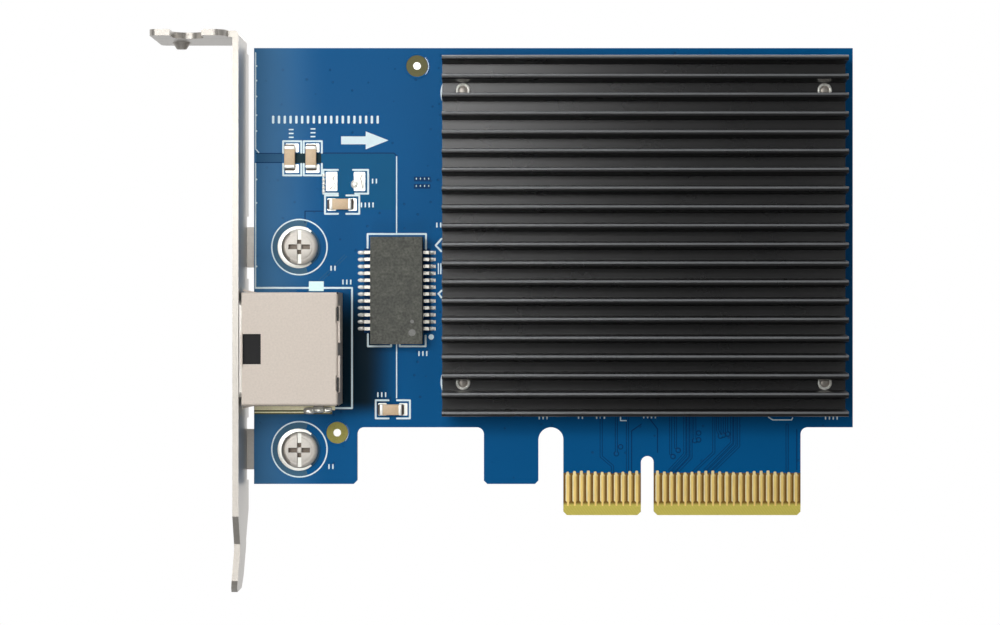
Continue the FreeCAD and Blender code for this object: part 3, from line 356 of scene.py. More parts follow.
def strokes(name, lines, width, low, high):
    """Bars with rounded ends: a line lists the x and z of each of its points."""
    bars = []
    for line in lines:
        for x, z, end_x, end_z in zip(line[::2], line[1::2], line[2::2], line[3::2]):
            # Each bar is a little lower than the last, so that no two tops lie in one plane.
            top = high - (len(bars) % 4) * 0.03 * (high - low)
            run = math.hypot(end_x - x, end_z - z)
            deselect()
            bpy.ops.mesh.primitive_cube_add(
                size=1, location=spot((x + end_x) / 2, (low + top) / 2, (z + end_z) / 2),
                rotation=(0, -math.atan2(end_z - z, end_x - x), 0),
                scale=metres(run + width * 0.9, top - low, width))
            bars.append(take(name))
    return bevel_edges(settle(join(bars, name)), across, width * 0.42, 3)


def ring(name, x, z, outer, inner, low, high, sides=64, rim=None):
    """A flat ring: a disc, inset, with its middle taken out, and thickened."""
    deselect()
    bpy.ops.mesh.primitive_circle_add(
        vertices=sides, radius=outer * MM, fill_type="NGON", location=spot(x, low, z), rotation=FACING)
    piece = settle(take(name))
    open_mesh(piece, mode="FACE")
    bpy.ops.mesh.inset(thickness=(outer - inner) * MM)
    bpy.ops.mesh.delete(type="FACE")
    done()
    return rounded(apply_modifier(piece, "SOLIDIFY", thickness=(high - low) * MM, offset=1.0), rim)


def quarter_turn(piece, x, z):
    """Turns a piece by a quarter in the board's plane, about a place."""
    open_mesh(piece)
    bpy.ops.transform.rotate(value=math.pi / 2, orient_axis="Y", center_override=spot(x, 0, z))
    done()
    return piece


def patch(name, x_low, x_high, z_low, z_high, low, high, corner=0.0):
    """A thin plate over the component face, with its corners rounded."""
    piece = block(name, (x_low, FRONT - high, z_low), (x_high, FRONT - low, z_high))
    return bevel_edges(piece, across, corner, 3) if corner else piece


def tile(name, x, z, half_wide, half_tall, *heights):
    """A thin plate round a middle."""
    return patch(name, x - half_wide, x + half_wide, z - half_tall, z + half_tall, *heights)


def lump(name, x_low, x_high, z_low, z_high, height, unevenness, seed):
    """A blob of solder: a block, divided, pushed about and smoothed."""
    open_mesh(block(name, (x_low, FRONT - height, z_low), (x_high, FRONT, z_high)))
    bpy.ops.mesh.subdivide(number_cuts=3, smoothness=0.4)
    bpy.ops.transform.vertex_random(offset=unevenness * MM, uniform=1.0, seed=seed)
    bpy.ops.mesh.vertices_smooth(factor=0.5, repeat=2)
    done()
    return smooth(bpy.context.object, 180)


def bead(name, x, z, height, reach, rise, wide, sides=12):
    """A small rounded bead of solder, half sunk in what it lies on."""
    deselect()
    bpy.ops.mesh.primitive_uv_sphere_add(
        segments=sides, ring_count=sides // 2 + 1, radius=1, location=spot(x, height, z),
        scale=metres(reach, rise, wide))
    return smooth(settle(take(name)), 180)


def place_on(piece, slot, finish_name, *replaced):
    """Finishes a piece: its material, its body and the nodes that it stands for. The slot is not used."""
    piece.data.materials.clear()
    piece.data.materials.append(finish(finish_name))
    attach(piece, "root")
    if replaced:
        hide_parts(*replaced)
    return piece


def lay(name, slot, finish_name, make, rows, *replaced, degrees=None):
    """One finished piece from numbered ones, with smooth shading where an angle is given."""
    piece = join(each(name, make, rows), name)
    return place_on(smooth(piece, degrees) if degrees else piece, slot, finish_name, *replaced)


def second_finish(piece, finish_name, test):
    """Gives another finish to the faces whose centre and normal pass the test."""
    piece.data.materials.append(finish(finish_name))
    for face in piece.data.polygons:
        if test(face.center / MM, face.normal):
            face.material_index = len(piece.data.materials) - 1


def dress(finish_name, *nodes):
    """Gives nodes of the frame a finish."""
    material = finish(finish_name)
    for node in (NODES[name] for name in nodes):
        if not node.material_slots:
            node.data.materials.append(material)
        for slot in node.material_slots:
            slot.material = material


# ---------------------------------------------------------------------------
# Materials

class Tree:
    """Places and joins the nodes of one material or group."""

    def __init__(self, tree):
        self.tree = tree

    def add(self, kind, inputs=None, **settings):
        """A node with its settings, and its inputs given as values or sockets."""
        node = self.tree.nodes.new(kind if kind.startswith("NodeGroup") else f"ShaderNode{kind}")
        for key, value in settings.items():
            setattr(node, key, value)
        for key, value in (inputs or {}).items():
            self.feed(node.inputs[key], value)
        return node

    def feed(self, socket, value):
        """Links a socket, or sets its value."""
        if isinstance(value, bpy.types.NodeSocket):
            self.tree.links.new(value, socket)
        else:
            socket.default_value = value

    def math(self, operation, *values, clamp=False):
        """A Math node's output."""
        inputs = dict(enumerate(values))
        return self.add("Math", inputs, operation=operation, use_clamp=clamp).outputs[0]

    def times(self, first, second):
        """A product."""
        return self.math("MULTIPLY", first, second)

    def plus(self, first, second, clamp=False):
        """A sum, kept from 0 to 1 where it is clamped."""
        return self.math("ADD", first, second, clamp=clamp)

    def minus(self, first, second):
        """A difference."""
        return self.math("SUBTRACT", first, second)

    def mix(self, factor, first, second, blend="MIX"):
        """A colour mix's output."""
        node = self.add("Mix", data_type="RGBA", blend_type=blend)
        for index, value in ((0, factor), (6, first), (7, second)):
            if isinstance(value, tuple) and len(value) == 3:
                value = (*value, 1.0)
            self.feed(node.inputs[index], value)
        return node.outputs[2]

    def ramp(self, *numbers):
        """A value moved smoothly from one range to another, or to 0 and 1."""
        inputs = dict(enumerate(numbers))
        return self.add("MapRange", inputs, interpolation_type="SMOOTHSTEP").outputs[0]

    def point(self):
        """Object coordinates."""
        return self.add("TexCoord").outputs["Object"]

    def axes(self, vector):
        """X, Y and Z of a vector."""
        return self.add("SeparateXYZ", {"Vector": vector}).outputs

    def shaded(self, colour, shade):
        """A colour times a grey."""
        grey = self.add("CombineColor", {"Red": shade, "Green": shade, "Blue": shade})
        return self.mix(1.0, colour, grey.outputs[0], "MULTIPLY")

    def relief(self, shader, height, depth):
        """A fine relief on a shader."""
        bump = self.add("Bump", {"Height": height, "Strength": 1.0, "Distance": depth})
        self.feed(shader["Normal"], bump.outputs[0])


def shared_group(name, outputs, **inputs):
    """Makes a function that fills a shader node group into one that places the group."""
    def wrap(fill):
        def place(build, *values):
            tree = bpy.data.node_groups.get(name)
            if not tree:
                tree = bpy.data.node_groups.new(name, "ShaderNodeTree")
                for label, default in inputs.items():
                    kind = "Float" if isinstance(default, float) else "Vector"
                    socket = tree.interface.new_socket(
                        name=label, in_out="INPUT", socket_type=f"NodeSocket{kind}")
                    socket.default_value = default
                for label in outputs:
                    tree.interface.new_socket(name=label, in_out="OUTPUT", socket_type="NodeSocketFloat")
                inner = Tree(tree)
                source = inner.add("NodeGroupInput").outputs
                inner.add("NodeGroupOutput", dict(enumerate(fill(inner, *source[:len(inputs)]))))
            return build.add("Group", dict(zip(inputs, values)), node_tree=tree).outputs
        return place
    return wrap


def swing(build, noise, depth):
    """A noise's swing about zero, and the shade that it gives."""
    scaled = build.times(build.minus(noise, 0.5), depth)
    return scaled, build.math("MULTIPLY_ADD", scaled, 2.0, 1.0)


@shared_group("Mottle", ("Shade", "Gloss"), Vector=(0, 0, 0), Scale=200.0, Depth=0.05)
def mottle(build, vector, scale, depth):
    """Soft uneven shade and gloss, as of any real surface."""
    noise = build.add("TexNoise", {"Vector": vector, "Scale": scale, "Detail": 3.0})
    scaled, shade = swing(build, noise.outputs["Fac"], depth)
    return shade, scaled


@shared_group("Grain", ("Shade", "Height"), Vector=(0, 0, 0), Stretch=(1, 1, 1), Scale=4000.0, Depth=0.1)
def grain(build, vector, stretch, scale, depth):
    """Fine lines or grain: noise stretched along the axis with the smallest stretch."""
    stretched = build.add("VectorMath", {0: vector, 1: stretch}, operation="MULTIPLY").outputs[0]
    noise = build.add("TexNoise", {"Vector": stretched, "Scale": scale, "Detail": 2.0}).outputs["Fac"]
    return swing(build, noise, depth)[1], noise


@shared_group("Specks", ("Mask",), Vector=(0, 0, 0), Scale=900.0, Size=0.12)
def specks(build, vector, scale, wide):
    """Scattered small specks, such as dust, pits and stray solder."""
    cells = build.add("TexVoronoi", {"Vector": vector, "Scale": scale}).outputs["Distance"]
    return [build.ramp(cells, build.times(wide, 0.6), wide, 1.0, 0.0)]


def new_material(name):
    """A material, its tree, the inputs of its Principled shader, and Object coordinates."""
    material = bpy.data.materials.new(name)
    material.use_nodes = True
    material.node_tree.nodes.clear()
    build = Tree(material.node_tree)
    shader = build.add("BsdfPrincipled")
    build.add("OutputMaterial", {"Surface": shader.outputs[0]})
    return material, build, shader.inputs, build.point()


def surface(name, base, metallic, roughness, uneven, fine=None, relief=0.0, dots=None,
            stretch=(1, 1, 1), coat=0.0, specular=0.5, edges=None):
    """A finish: colour with mottle, grain and specks, uneven gloss and a fine relief.

    Edges are cut faces at given depths, given painted shade that deepens from low to high.
    """
    material, build, shader, point = new_material(name)
    soft = mottle(build, point, *uneven)
    shade = soft["Shade"]
    if fine:
        lines = grain(build, point, stretch, *fine)
        shade = build.times(shade, lines["Shade"])
        if relief:
            build.relief(shader, lines["Height"], relief)
    tinted = build.shaded(colour(base), shade)
    if dots:
        scale, wide, speck, strength = dots
        mask = build.times(specks(build, point, scale, wide)["Mask"], strength)
        tinted = build.mix(mask, tinted, colour(speck))
    # The bracket's front edges get painted shade that deepens with height.
    if edges:
        _, y, z = build.axes(point)
        rise = build.ramp(z, *metres(*EDGE_RISE), 0.0, 1.0)
        tint = build.mix(rise, colour(edges[0]), colour(edges[1]))
        for depth, reach in EDGE_DEPTHS:
            away = build.math("ABSOLUTE", build.minus(y, depth * MM))
            tinted = build.mix(build.math("LESS_THAN", away, reach * MM), tinted,
                               build.mix(1.0, tinted, tint, "MULTIPLY"))
    build.feed(shader["Base Color"], tinted)
    build.feed(shader["Roughness"], build.plus(soft["Gloss"], roughness))
    for socket, value in (("Metallic", metallic), ("Specular IOR Level", specular),
                          ("Coat Weight", coat), ("Coat Roughness", 0.1)):
        shader[socket].default_value = value
    return material


def contact_material(name):
    """Gold of the edge contacts, with a painted highlight along one edge, painted shade along the other, and
    paler tops.
    """
    material, build, shader, point = new_material(name)
    x, _, z = build.axes(point)
    soft = mottle(build, point, 900.0, 0.12)
    fine = grain(build, point, (2.2, 1.0, 0.3), 3000.0, 0.14)
    # Place across one contact, from -0.5 to 0.5 of the pitch.
    drift = build.times(soft["Gloss"], 1.2)
    place = build.minus(build.math("FRACT", build.plus(build.times(x, 1000.0), drift)), 0.5)
    # Painted shade along each contact's far edge and a painted highlight along its near edge.
    shaded_side = build.times(build.ramp(place, 0.05, 0.24), 0.85)
    lit_side = build.times(build.ramp(place, -0.14, -0.27), 0.8)
    top = build.times(build.ramp(z, *metres(5.5, 6.0)), 0.35)
    plated = build.mix(shaded_side, colour("gold"), colour("gold_dark"))
    plated = build.mix(lit_side, plated, colour("gold_pale"))
    plated = build.mix(top, plated, colour("gold_pale"))
    build.feed(shader["Base Color"], build.shaded(plated, build.times(soft["Shade"], fine["Shade"])))
    build.feed(shader["Roughness"], build.plus(soft["Gloss"], 0.36))
    shader["Metallic"].default_value = 0.35
    build.relief(shader, fine["Height"], 6e-6)
    return material


def board_material(name):
    """Solder mask on both faces, bare laminate on the edges and round the contacts."""
    material, build, shader, point = new_material(name)
    x, y, z = build.axes(point)
    soft = mottle(build, point, 70.0, 0.07)
    fine = grain(build, point, (1, 1, 1), 5200.0, 0.07)
    mask = build.shaded(colour("mask_blue"), build.times(soft["Shade"], fine["Shade"]))

    # Tented vias are low dimples in loose rows, and some rows are bare of them.
    vias = build.add("TexVoronoi", {"Vector": point, "Scale": 560.0, "Randomness": 0.6}).outputs
    rows = build.add("TexNoise", {"Vector": point, "Scale": 160.0, "Detail": 1.0}).outputs
    present = build.ramp(rows["Fac"], 0.4, 0.46)
    near = build.times(build.ramp(vias["Distance"], 0.07, 0.15, 1.0, 0.0), present)
    core = build.times(build.ramp(vias["Distance"], 0.02, 0.06, 1.0, 0.0), present)
    # Round each dimple the mask is painted darker and in its middle paler: painted shade and highlight of the
    # dimple.
    mask = build.mix(build.times(near, 0.55), mask, colour("mask_deep"))
    mask = build.mix(build.times(core, 0.35), mask, colour("mask_pale"))

    # Between the jack and the magnetics the component face is painted darker, as the jack's painted shadow,
    # and towards the bracket it is painted paler, as a painted reflection of the bracket.
    front = build.math("LESS_THAN", y, 0.0)
    jack_shadow = build.times(build.ramp(x, *metres(-35, -41)), build.ramp(z, *metres(35, 27)))
    jack_shadow = build.times(build.times(jack_shadow, front), build.ramp(z, *metres(13.6, 16.6)))
    mask = build.mix(jack_shadow, mask, colour("mask_shade"))
    # Painted reflection of the bracket on the mask near it.
    bracket_reflection = build.times(front, build.ramp(x, *metres(-46, -56.5), 0.0, 0.42))
    mask = build.mix(bracket_reflection, mask, colour("mask_veil"))

    # Glass cloth shows in the bare laminate as a fine weave.
    weave = build.add("TexWave", {"Vector": point, "Scale": 1500.0, "Distortion": 1.6, "Detail": 2.0},
                      bands_direction="DIAGONAL").outputs
    cloth = build.mix(build.times(weave["Fac"], 0.12), colour("laminate"), colour("laminate_dark"))
    contact_zone = build.times(build.math("LESS_THAN", z, 6.12 * MM),
                               build.math("GREATER_THAN", x, -13.0 * MM))
    bare = build.mix(build.ramp(z, *metres(1.35, 1.95)), cloth, colour("laminate_dark"))
    faces = build.mix(contact_zone, mask, bare)

    depth = build.math("ABSOLUTE", y)
    on_face = build.math("GREATER_THAN", depth, 0.778 * MM)
    outer = build.math("MAXIMUM", on_face, build.times(
        contact_zone, build.math("GREATER_THAN", depth, 0.3 * MM)))
    layers = build.add("TexWave", {"Vector": point, "Scale": 620.0, "Distortion": 0.3},
                       bands_direction="Y").outputs
    edge = build.mix(build.times(layers["Fac"], 0.4), colour("laminate_olive"), colour("mask_deep"))
    build.feed(shader["Base Color"], build.mix(outer, edge, faces))

    is_mask = build.times(on_face, build.minus(1.0, contact_zone))
    gloss = build.math("MULTIPLY_ADD", is_mask, -0.24, 0.58)
    build.feed(shader["Roughness"], build.plus(gloss, soft["Gloss"]))
    shader["Specular IOR Level"].default_value = 0.05
    build.relief(shader, build.minus(build.times(fine["Height"], 0.14), near), 2.2e-5)
    return material


# Depth and reach of the bracket's cut front edges, and the heights between which their painted shade deepens.
EDGE_DEPTHS = ((-17.22, 0.1), (-14.79, 0.05), (-11.66, 0.14))
EDGE_RISE = (-5.0, 34.0)
DUST, PIT, SILICA = (0.2, 0.2, 0.19), (0.3, 0.28, 0.26), (0.22, 0.22, 0.2)
BAKED = (0.4, 0.28, 0.18)
UNDER_MASK = {"specular": 0.05}

# Colour, metallic, roughness, scale and depth of the mottle and of the grain, relief in metres,
# specks with their scale, size, colour and strength, and what else surface() takes.
FINISHES = {
    "white_ink": ("ink", 0, 0.55, (900, 0.06), (9000, 0.08), 2e-6),
    "pale_pad": ("pale_pad", 0.2, 0.4, (700, 0.08), (3000, 0.1), 6e-6),
    "raised_mask": ("mask_blue", 0, 0.32, (300, 0.05), UNDER_MASK),
    "deep_mask": ("mask_deep", 0, 0.36, (300, 0.05), UNDER_MASK),
    "pale_mask": ("mask_pale", 0, 0.34, (300, 0.05), UNDER_MASK),
    "green_mask": ("mask_green", 0, 0.34, (300, 0.05), UNDER_MASK),
    "moat_mask": ("mask_moat", 0, 0.36, (300, 0.06), (4000, 0.06), 2e-6, UNDER_MASK),
    "gap_mask": ("mask_dark", 0, 0.4, (500, 0.1), (5000, 0.1), 3e-6, UNDER_MASK),
    "rim_mask": ("mask_blue", 0, 0.2, (300, 0.05), {"specular": 1.0}),
    "olive_laminate": ("laminate_olive", 0, 0.5, (900, 0.2), (5000, 0.24), 4e-6, {"specular": 0.2}),
    "yellow_laminate": ("laminate_bright", 0, 0.5, (900, 0.2), (5000, 0.24), 4e-6, {"specular": 0.2}),
    "gold_plate": ("gold", 0.5, 0.3, (420, 0.1), (2600, 0.1), 3e-6,
                   (1500, 0.07, "gold_dark", 0.35), (3.0, 1.0, 0.35)),
    "strip_tin": ("gold_pale", 0.2, 0.4, (900, 0.12), (4000, 0.1), 6e-6),
    "bead_tin": ("bead", 0.1, 0.28, (900, 0.06), (4000, 0.06), 3e-6),
    "tin_plate": ("tin", 0.4, 0.34, (500, 0.08), (4000, 0.08), 5e-6),
    "slot_nickel": ("tin", 0.3, 0.5, (500, 0.06), (3000, 0.08), 4e-6),
    "solder": ("tin", 0.55, 0.22, (1300, 0.2), (2500, 0.12), 2.2e-5, (900, 0.2, "flux", 0.5)),
    "lead_metal": ("lead", 0.6, 0.34, (1100, 0.12), (2500, 0.1), 6e-6),
    "bracket_steel": ("steel", 0.6, 0.34, (120, 0.04), (3200, 0.1), 6e-6, (700, 0.04, PIT, 0.3),
                      {"edges": ("edge_low", "edge_high")}),
    "shell_steel": ("shell", 0.15, 0.55, (140, 0.03), (3600, 0.12), 6e-6, (800, 0.035, PIT, 0.25)),
    "screw_nickel": ("screw", 0.3, 0.5, (500, 0.06), (3000, 0.08), 5e-6),
    "screw_recess": ("recess", 0.3, 0.5, (900, 0.2), (4000, 0.2), 6e-6),
    "dish_steel": ("dish", 0.5, 0.4, (900, 0.1), (4000, 0.1), 3e-6),
    "lid_metal": ("screw", 0.5, 0.4, (300, 0.05), (4000, 0.08), 4e-6),
    "worn_anodised": ("worn_black", 0.2, 0.3, (200, 0.1), (5200, 0.12), 2e-6),
    "black_anodised": ("anodised", 0, 0.28, (140, 0.06), (5200, 0.2), 1.2e-6, (900, 0.02, DUST, 0.04)),
    "moulding": ("moulding", 0, 0.65, (900, 0.7), (3000, 0.9), 1.6e-5, (2300, 0.14, SILICA, 0.3),
                 {"specular": 0.25}),
    "mould_mark": (DUST, 0, 0.65, (1300, 0.2), (6500, 0.3), 8e-6),
    "black_plastic": ("plastic", 0, 0.5, (400, 0.08), (5000, 0.12), 6e-6, {"specular": 0.15}),
    "chip_plastic": ("plastic", 0, 0.55, (500, 0.1), (5000, 0.2), 1e-5),
    "ferrite": ("plastic", 0, 0.7, (600, 0.12), (4000, 0.2), 1.5e-5),
    "dark_gap": ("anodised", 0, 0.7, (400, 0.08), (5000, 0.12), 4e-6),
    "light_pipe": ("clear", 0, 0.2, (300, 0.03), (3000, 0.03), 1e-6, {"coat": 0.4}),
    "ceramic": ("ceramic", 0, 0.42, (1500, 0.08), (6000, 0.14), 6e-6, (2600, 0.12, BAKED, 0.3)),
    "spacer_brass": ("brass", 0.6, 0.35, (500, 0.06), (4000, 0.08), 3e-6, None, (1.0, 6.0, 1.0)),
    "substrate": ("substrate", 0, 0.45, (600, 0.08), (5000, 0.1), 4e-6),
    "thermal_pad": ("pad", 0, 0.8, (600, 0.08), (3000, 0.1), 1.5e-5),
}


def finish(name):
    """A named finish, made the first time that it is asked for."""
    label = f"finish_{name}"
    if label in bpy.data.materials:
        return bpy.data.materials[label]
    if name in ("board", "contact_gold"):
        return board_material(label) if name == "board" else contact_material(label)
    *values, last = FINISHES[name]
    return surface(label, *values, **last) if isinstance(last, dict) else surface(label, *values, last)


# ---------------------------------------------------------------------------
# Places on the board, in millimetres from the origin

SCREWS = ((-50.36, 38.8), (-50.36, 9.55))
FIDUCIALS = ((-33.34, 65.0), (-44.89, 11.95))
SINK_SCREWS = ((-26.63, 19.3), (25.13, 19.3), (-26.63, 61.12), (25.13, 61.12))
FINS = 20
# Middle, whether it stands upright, and half the width of its printed frame.
CHIPS = {"chip_capacitor_1": (-51.4, 51.65, True, 1.31), "chip_capacitor_2": (-48.43, 51.65, True, 1.31),
         "chip_capacitor_3": (-44.18, 44.95, False, 1.33),
         "chip_capacitor_4": (-36.85, 15.33, False, 1.31)}
BARE_PADS = ((-45.7, 48.3), (-41.66, 48.3))
MAGNETICS = (-40.05, -32.4, 24.8, 40.2)
LEAD_ROWS = [27.0 + number for number in range(12)]
LEAD_TOES = (-41.43, -31.2)
LEAD_KNEE_HIGHLIGHTS = (-40.5, -32.08)
TAILS = [(x, low + 2.04 * n) for x, low in ((-49.3, 21.64), (-46.76, 20.62)) for n in range(4)]
SHELL_LEGS = ((-50.06, 32.04), (-50.06, 16.35))
CONTACTS = [-11.5 + n for n in range(11)] + [1.5 + n for n in range(21)]

TRACKS = (
    (-6.7, 14.3, -6.7, 8.5, -5.05, 7.1, -5.05, 6.2), (-4.5, 14.3, -4.5, 9.1), (-2.9, 14.3, -2.9, 6.2),
    (3.35, 14.3, 3.35, 8.9), (4.05, 14.3, 4.05, 9.8), (5.4, 14.3, 5.4, 8.9, 3.2, 6.5),
    (5.85, 14.3, 5.85, 8.55, 3.65, 6.2), (6.3, 14.3, 6.3, 8.35, 4.2, 6.15), (6.85, 14.3, 6.85, 11.0),
    (9.6, 14.3, 9.6, 9.1, 6.5, 6.15), (10.15, 14.3, 10.15, 12.3, 10.5, 11.6),
    (10.8, 14.3, 10.8, 11.9), (11.45, 14.3, 11.45, 12.1), (12.2, 14.3, 12.2, 10.5, 8.3, 6.55),
    (12.65, 14.3, 12.65, 10.25, 8.75, 6.3), (13.2, 14.3, 13.2, 10.0, 9.25, 6.15),
    (20.2, 13.1, 20.2, 6.2))
VIAS = ((3.7, 8.5), (4.45, 9.4), (7.4, 11.9), (7.4, 10.9), (10.55, 11.45), (11.0, 11.6),
        (11.6, 11.75), (-4.5, 8.9), (-3.9, 9.9), (6.85, 10.8))
COPPER_EDGES = (
    (-47.2, 52.4, -36.7, 52.4, -36.2, 51.95), (-56.6, 52.35, -52.9, 52.35),
    (-56.6, 51.05, -52.9, 51.05), (-49.55, 42.3, -49.55, 44.0, -46.9, 44.0),
    (-2.3, 6.2, -2.3, 12.2, -0.9, 13.2), (0.05, 14.3, 1.45, 12.5, 1.45, 9.1),
    (21.6, 12.4, 21.6, 6.6))
PALE_TRACES = (
    (-47.6, 34.0, -46.3, 35.2, -43.8, 37.7), (-47.3, 33.8, -46.0, 35.0, -43.5, 37.5),
    (-30.5, 27.4, -29.8, 28.1), (-30.4, 26.9, -29.8, 27.5))
PRINTED_OUTLINES = [
    (-56.7, 32.9, -42.75, 32.9, -42.75, 15.5, -45.4, 15.5),
    (-40.5, 38.7, -40.5, 40.7, -32.05, 40.7, -32.05, 38.5),
    (-40.45, 26.2, -40.45, 24.45, -37.1, 24.45, -37.1, 24.8),
    (-35.85, 24.8, -35.85, 24.45, -32.1, 24.45, -32.1, 26.0),
    (-44.8, 49.97, -46.9, 49.97, -46.9, 46.54, -44.8, 46.54),
    (-42.6, 49.97, -40.42, 49.97, -40.42, 46.54, -42.3, 46.54),
    (-29.8, 40.0, -30.65, 39.05, -29.85, 38.2), (-29.8, 32.5, -30.25, 32.05, -29.8, 31.5)]
PRINTED_FINE_LINES = (
    (-56.7, 66.9, -56.7, 53.0, -56.25, 52.5), (-56.7, 50.9, -56.7, 32.9), (-36.3, 51.9, -36.3, 40.9),
    (-36.3, 24.7, -36.3, 17.0), (-30.25, 36.4, -30.25, 34.95), (-29.9, 36.4, -29.9, 34.95),
    (-2.9, 14.2, -2.9, 13.7, -3.9, 13.7, -3.9, 14.2), (17.5, 14.2, 18.1, 13.8, 20.85, 13.8, 21.0, 14.1))
# Middle, number of bars, their length where it isn't the usual one, and whether they lie level.
PRINTED_BARS = (
    (-51.55, 55.25, 3, 0.55, True), (-48.4, 55.35, 3, 0.55, True), (-39.5, 48.35, 2),
    (-40.55, 44.9, 4), (-45.5, 35.75, 2), (-43.5, 33.75, 3), (-38.45, 17.45, 3), (-32.5, 23.4, 3),
    (-45.8, 7.05, 2), (-30.2, 42.0, 2), (-15.1, 14.1, 3, 0.3), (-9.7, 14.15, 2, 0.25),
    (-6.8, 14.15, 3, 0.25), (0.3, 14.2, 4, 0.2), (26.6, 14.1, 4, 0.35))
BLOTS = (65.0, 62.9, 60.6, 57.9, 55.6, 48.6, 45.2, 36.0)
PAD_CREASES = ((-45.15, 49.2, -45.5, 48.7, -45.2, 48.3), (-45.9, 47.2, -45.5, 47.75, -45.3, 48.0),
               (-41.2, 49.3, -41.5, 48.8, -41.25, 47.4))


def frame_round(x, z, upright, half_wide):
    """Two U-shaped marks round a chip part."""
    half_long, gap = 2.47, 0.8 if upright else 0.6
    marks = []
    for end in (-1, 1):
        path = ((end * gap, -half_wide), (end * half_long, -half_wide),
                (end * half_long, half_wide), (end * gap, half_wide))
        marks.append([place for u, v in path
                      for place in ((x + v, z + u) if upright else (x + u, z + v))])
    return marks


def dashes(x, z, count, tall=0.55, lying=False, pitch=0.56):
    """A row of plain short bars in place of a part's printed name."""
    bars = []
    for number in range(count):
        along = (number - (count - 1) / 2) * pitch
        bars.append((x - tall / 2, z + along, x + tall / 2, z + along) if lying else
                    (x + along, z - tall / 2, x + along, z + tall / 2))
    return bars


class CARD_OT_board(bpy.types.Operator):
    """Finish the bare board: solder mask, laminate edges and contact zone"""
    bl_idname = "card.board"
    bl_label = "Board"

    def execute(self, context):
        dress("board", "pcb")
        return {"FINISHED"}


class CARD_OT_tracks(bpy.types.Operator):
    """Lay the tracks, vias and copper edges that show through the solder mask"""
    bl_idname = "card.tracks"
    bl_label = "Tracks under the mask"

    def execute(self, context):
        wide, high = size("track_width"), size("track_height")
        # Wider dark strokes under each track paint the shade along its sides.
        shades = strokes("track_shades", TRACKS, wide * 2.1, 0, 0.012)
        wells = each("via_well", drum, [(x, z, 0.4, 0, 0.016, 20) for x, z in VIAS])
        place_on(join([shades, *wells], "track_edges"), "board", "deep_mask")
        tracks = strokes("tracks", TRACKS, wide, 0, high)
        caps = each("via_cap", drum, [(x, z, 0.25, 0, high, 20, (high, 0.012)) for x, z in VIAS])
        place_on(smooth(join([tracks, *caps], "tracks_under_mask")), "board", "raised_mask")

        # The edges of the copper grounds, and the gap between two of them.
        place_on(strokes("copper_edges", COPPER_EDGES, 0.16, 0, 0.01), "board", "deep_mask")
        place_on(patch("ground_gap", -56.6, -52.8, 51.15, 52.25, 0, 0.006), "board", "pale_mask")
        place_on(patch("chip_gap", -52.5, -47.2, 50.95, 52.4, 0, 0.007), "board", "gap_mask")
        place_on(patch("bare_field", -47.2, -36.5, 44.2, 52.3, 0, 0.004, 0.4), "board", "green_mask")
        lay("part_spots", "board", "deep_mask", tile, [
            (x, z, 0.3, 0.34, 0, 0.012) for x in (-33.5, -32.9, -32.3, -31.7) for z in (48.65, 47.6)])
        place_on(strokes("pale_traces", PALE_TRACES, 0.09, 0, 0.014), "board", "pale_mask")
        return {"FINISHED"}


class CARD_OT_printing(bpy.types.Operator):
    """Print the white outlines, rings, marks and arrow on the component face"""
    bl_idname = "card.printing"
    bl_label = "Printing"

    def execute(self, context):
        high, radius = size("ink_height"), size("screw_ring")
        frames = [mark for chip in CHIPS.values() for mark in frame_round(*chip)]
        bars = [bar for row in PRINTED_BARS for bar in dashes(*row)]
        number_row = dashes(-46.6, 57.25, 19, tall=0.85, pitch=0.84)
        pieces = [strokes(name, lines, wide, 0, high) for name, lines, wide in (
            ("printed_outlines", PRINTED_OUTLINES + frames, size("ink_width")),
            ("printed_fine_lines", PRINTED_FINE_LINES, size("ink_thin")),
            ("printed_bars", bars, 0.2), ("printed_number_row", number_row, 0.34))]
        pieces += each("printed_ring", ring, [
            (*place, radius + 0.1, radius - 0.1, 0, high) for place in SCREWS])
        pieces += each("printed_sink_ring", ring, [(*place, 3.32, 3.1, 0, high) for place in SINK_SCREWS])

        deselect()
        start = -43.75
        centre = spot(start, 0, 54.25)
        bpy.ops.mesh.primitive_plane_add(size=1.15 * MM, location=centre, rotation=FACING)
        arrow = settle(take("printed_arrow"))
        select_edges(arrow, lambda a, b: min(a.x, b.x) > start)
        for step, stretch in ((2.4, 1), (0.01, 2.25), (3.3, 1)):
            bpy.ops.mesh.extrude_region_move(TRANSFORM_OT_translate={"value": metres(step, 0, 0)})
            if stretch > 1:
                bpy.ops.transform.resize(value=(1, 1, stretch), center_override=centre)
        bpy.ops.mesh.merge(type="CENTER")
        done()
        pieces.append(apply_modifier(arrow, "SOLIDIFY", thickness=high * MM, offset=1.0))
        pieces.append(drum("printed_pin_mark", -31.3, 25.8, 0.4, 0, high, 24))
        pieces += each("printed_blot", drum, [(-56.6, z, 0.15, 0, high * 1.2, 12) for z in BLOTS])
        place_on(join(pieces, "printing"), "board", "white_ink")

        pad = patch("test_pad", -49.0, -46.85, 32.45, 33.85, 0, 0.04, 0.05)
        place_on(pad, "tin", "pale_pad")
        lay("part_dots", "tin", "pale_pad", bead, [
            (x, z, 0, 0.1, 0.05, 0.17, 8) for x in (-33.45, -32.85, -32.25, -31.65) for z in (48.7, 47.65)])
        return {"FINISHED"}


